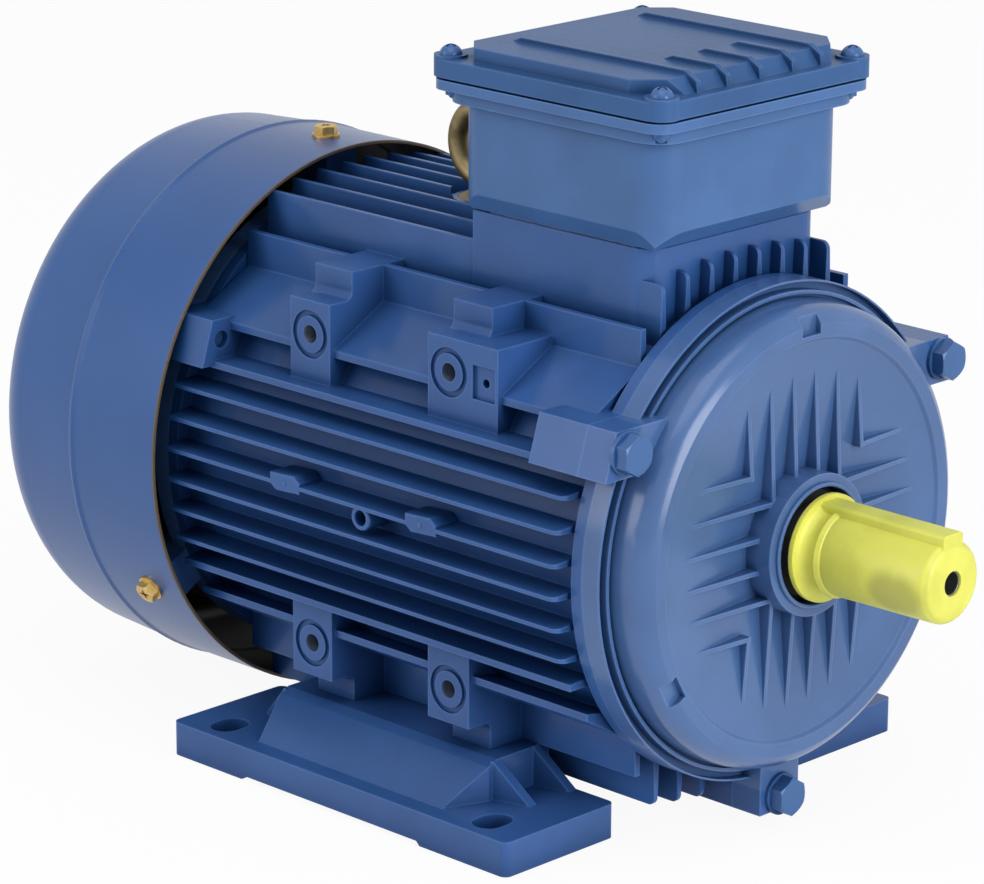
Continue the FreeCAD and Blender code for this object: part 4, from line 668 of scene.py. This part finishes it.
walls = [
    (0.0, skirt_low),
    (0.0, skirt_top),
    (lip_slope, skirt_top + lip_height),
    (lip_width, skirt_top + lip_height),
    (lip_width + lip_fall, skirt_top - lip_drop),
    (skirt_thickness, skirt_top - lip_drop),
    (skirt_thickness, skirt_low),
]
skirt = rounds_of([skirt_outline(inset, height) for inset, height in walls])
riding_piece("pedestal_wall", skirt, housing_paint, "stator")
print("pedestal wall is", round((skirt_front - skirt_rear) * 1000.0, 1), "mm long")

# %% [markdown]
# Under the box rim each lid screw ends in a small round boss of the box casting. The four are
# alike, so one profile is turned at each corner, at places taken from the lid screws.

# %% Bosses under the box rim
box_low, box_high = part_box("terminal_box")
box_middle = (box_low + box_high) / 2.0
screw_low, screw_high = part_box("lid_screws")
screw_head_radius = 0.0052
boss_out = (screw_high - screw_low) / 2.0 - Vector((screw_head_radius, screw_head_radius, 0.0))
rim_thickness = 0.0037
rim_under = box_high.z - rim_thickness
corner_boss = [(-0.001, 0.0034), (0.0, 0.0033), (0.0022, 0.0028), (0.0038, 0.0017), (0.0045, 0.0002)]
for side_x in (-1.0, 1.0):
    for side_y in (-1.0, 1.0):
        place = (box_middle.x + side_x * boss_out.x, side_y * boss_out.y, rim_under)
        turned_piece("corner_boss", corner_boss, place, (0.0, 0.0, -1.0), box_paint)
print("lid screws stand", round(boss_out.x * 2000.0, 1), "mm apart")

# %% [markdown]
# At the hub a thin painted ring holds the seal, and the sleeve has a soft bead where its
# flange meets the tube. Both are round about the shaft axis, so both are turned profiles. The
# ring rides on the housing and the bead on the sleeve, which can be drawn off.

# %% Seal ring and sleeve bead
shaft_direction = (1.0, 0.0, 0.0)
hub_mouth = 0.0695
ring_outer = 0.0232
ring_inner = 0.0217
ring_root = -0.003
seal_ring = [
    (ring_root, ring_outer),
    (0.0010, ring_outer),
    (0.0014, 0.0228),
    (0.0014, 0.0220),
    (0.0011, ring_inner),
    (ring_root, ring_inner),
    (ring_root, ring_outer),
]
turned_piece("seal_ring", seal_ring, (hub_mouth, 0.0, axis_height), shaft_direction, shield_paint)

bead_place = 0.0815
bead_root = 0.0150
bead = [(-0.0020, bead_root), (-0.0014, 0.0163), (0.0, 0.0169), (0.0016, 0.0163), (0.0026, bead_root)]
bead_middle = (bead_place, 0.0, axis_height)
turned_piece(
    "sleeve_bead", bead, bead_middle, shaft_direction, sleeve_plastic, "sleeve"
)
print("seal ring at", round(hub_mouth * 1000.0, 1), "mm")

# %% [markdown]
# The motor stands on a plain white floor under big soft lamps, as in a studio. Stronger lamps
# could burn the floor out to white, but they would burn out the motor too. Instead the camera
# sees floor and world as white through Light Path, and no extra light falls on the motor for
# it. A part of the floor's own shading stays in the mix, and with it the motor's shadow.

# %% Floor and world
mirror_share = 0.7
floor_white_share = 0.93
floor_radius = 6.0
floor_steps = 96
floor_drop = 0.0005
sky_glow = 0.5
white = (1.0, 1.0, 1.0, 1.0)


def seen_directly(finish):
    """1 for rays from the camera, and for those that a mirror or clear piece passes on."""
    camera_ray = finish.node("ShaderNodeLightPath", out="Is Camera Ray")
    mirror_ray = finish.node("ShaderNodeLightPath", out="Is Glossy Ray")
    clear_ray = finish.node("ShaderNodeLightPath", out="Is Transmission Ray")
    return (camera_ray + mirror_ray * mirror_share + clear_ray).at_most(1.0)


def white_floor():
    finish = Finish("floor")
    finish.set(Base_Color=(0.9, 0.9, 0.9, 1.0), Roughness=0.9)
    lit = Signal(finish, finish.shader.outputs[0])
    plain = finish.node("ShaderNodeEmission", {}, {"Color": white, "Strength": 1.0})
    share = seen_directly(finish) * floor_white_share
    finish.show_as(finish.node("ShaderNodeMixShader", {}, {0: share, 1: lit, 2: plain}))
    return finish.material


def floor_disc():
    mesh = bpy.data.meshes.new("floor")
    shape = bmesh.new()
    bmesh.ops.create_circle(shape, cap_ends=True, segments=floor_steps, radius=floor_radius)
    shape.to_mesh(mesh)
    shape.free()
    mesh.materials.append(white_floor())
    disc = bpy.data.objects.new("floor", mesh)
    disc.location = (0.0, 0.0, -floor_drop)
    bpy.context.scene.collection.objects.link(disc)
    return disc


def studio_world():
    world = bpy.data.worlds.new("studio")
    finish = Finish("studio", world)
    sky = {"Color": (0.92, 0.95, 1.0, 1.0), "Strength": sky_glow}
    glow = finish.node("ShaderNodeBackground", {}, sky)
    plain = finish.node("ShaderNodeBackground", {}, {"Color": white, "Strength": 1.0})
    share = seen_directly(finish)
    finish.show_as(finish.node("ShaderNodeMixShader", {}, {0: share, 1: glow, 2: plain}))
    bpy.context.scene.world = world


floor_disc()
studio_world()
print("floor and world are white to the camera")

# %% [markdown]
# Three soft boxes light the motor: a large one above and a little in front, a weak one on the
# left for the fins, and one on the right for the shield's face. A sun lamp would be simpler, but
# its shadows are hard, and the photograph shows soft ones.

# %% Lamps
lamp_target = Vector((-0.07, 0.0, 0.12))


def softbox(name, place, width, height, watts):
    light = bpy.data.lights.new(name, "AREA")
    light.shape = "RECTANGLE"
    light.size = width
    light.size_y = height
    light.energy = watts
    lamp = bpy.data.objects.new(name, light)
    lamp.location = place
    aim = lamp_target - Vector(place)
    lamp.rotation_euler = aim.to_track_quat("-Z", "Y").to_euler()
    bpy.context.scene.collection.objects.link(lamp)


softbox("top_box", (0.3, -0.5, 1.9), 1.4, 1.4, 11.0)
softbox("left_box", (-0.9, -1.7, 0.8), 0.9, 1.2, 11.0)
softbox("right_box", (1.9, -0.1, 0.7), 0.9, 1.2, 26.0)
bpy.context.scene.view_settings.view_transform = "Standard"
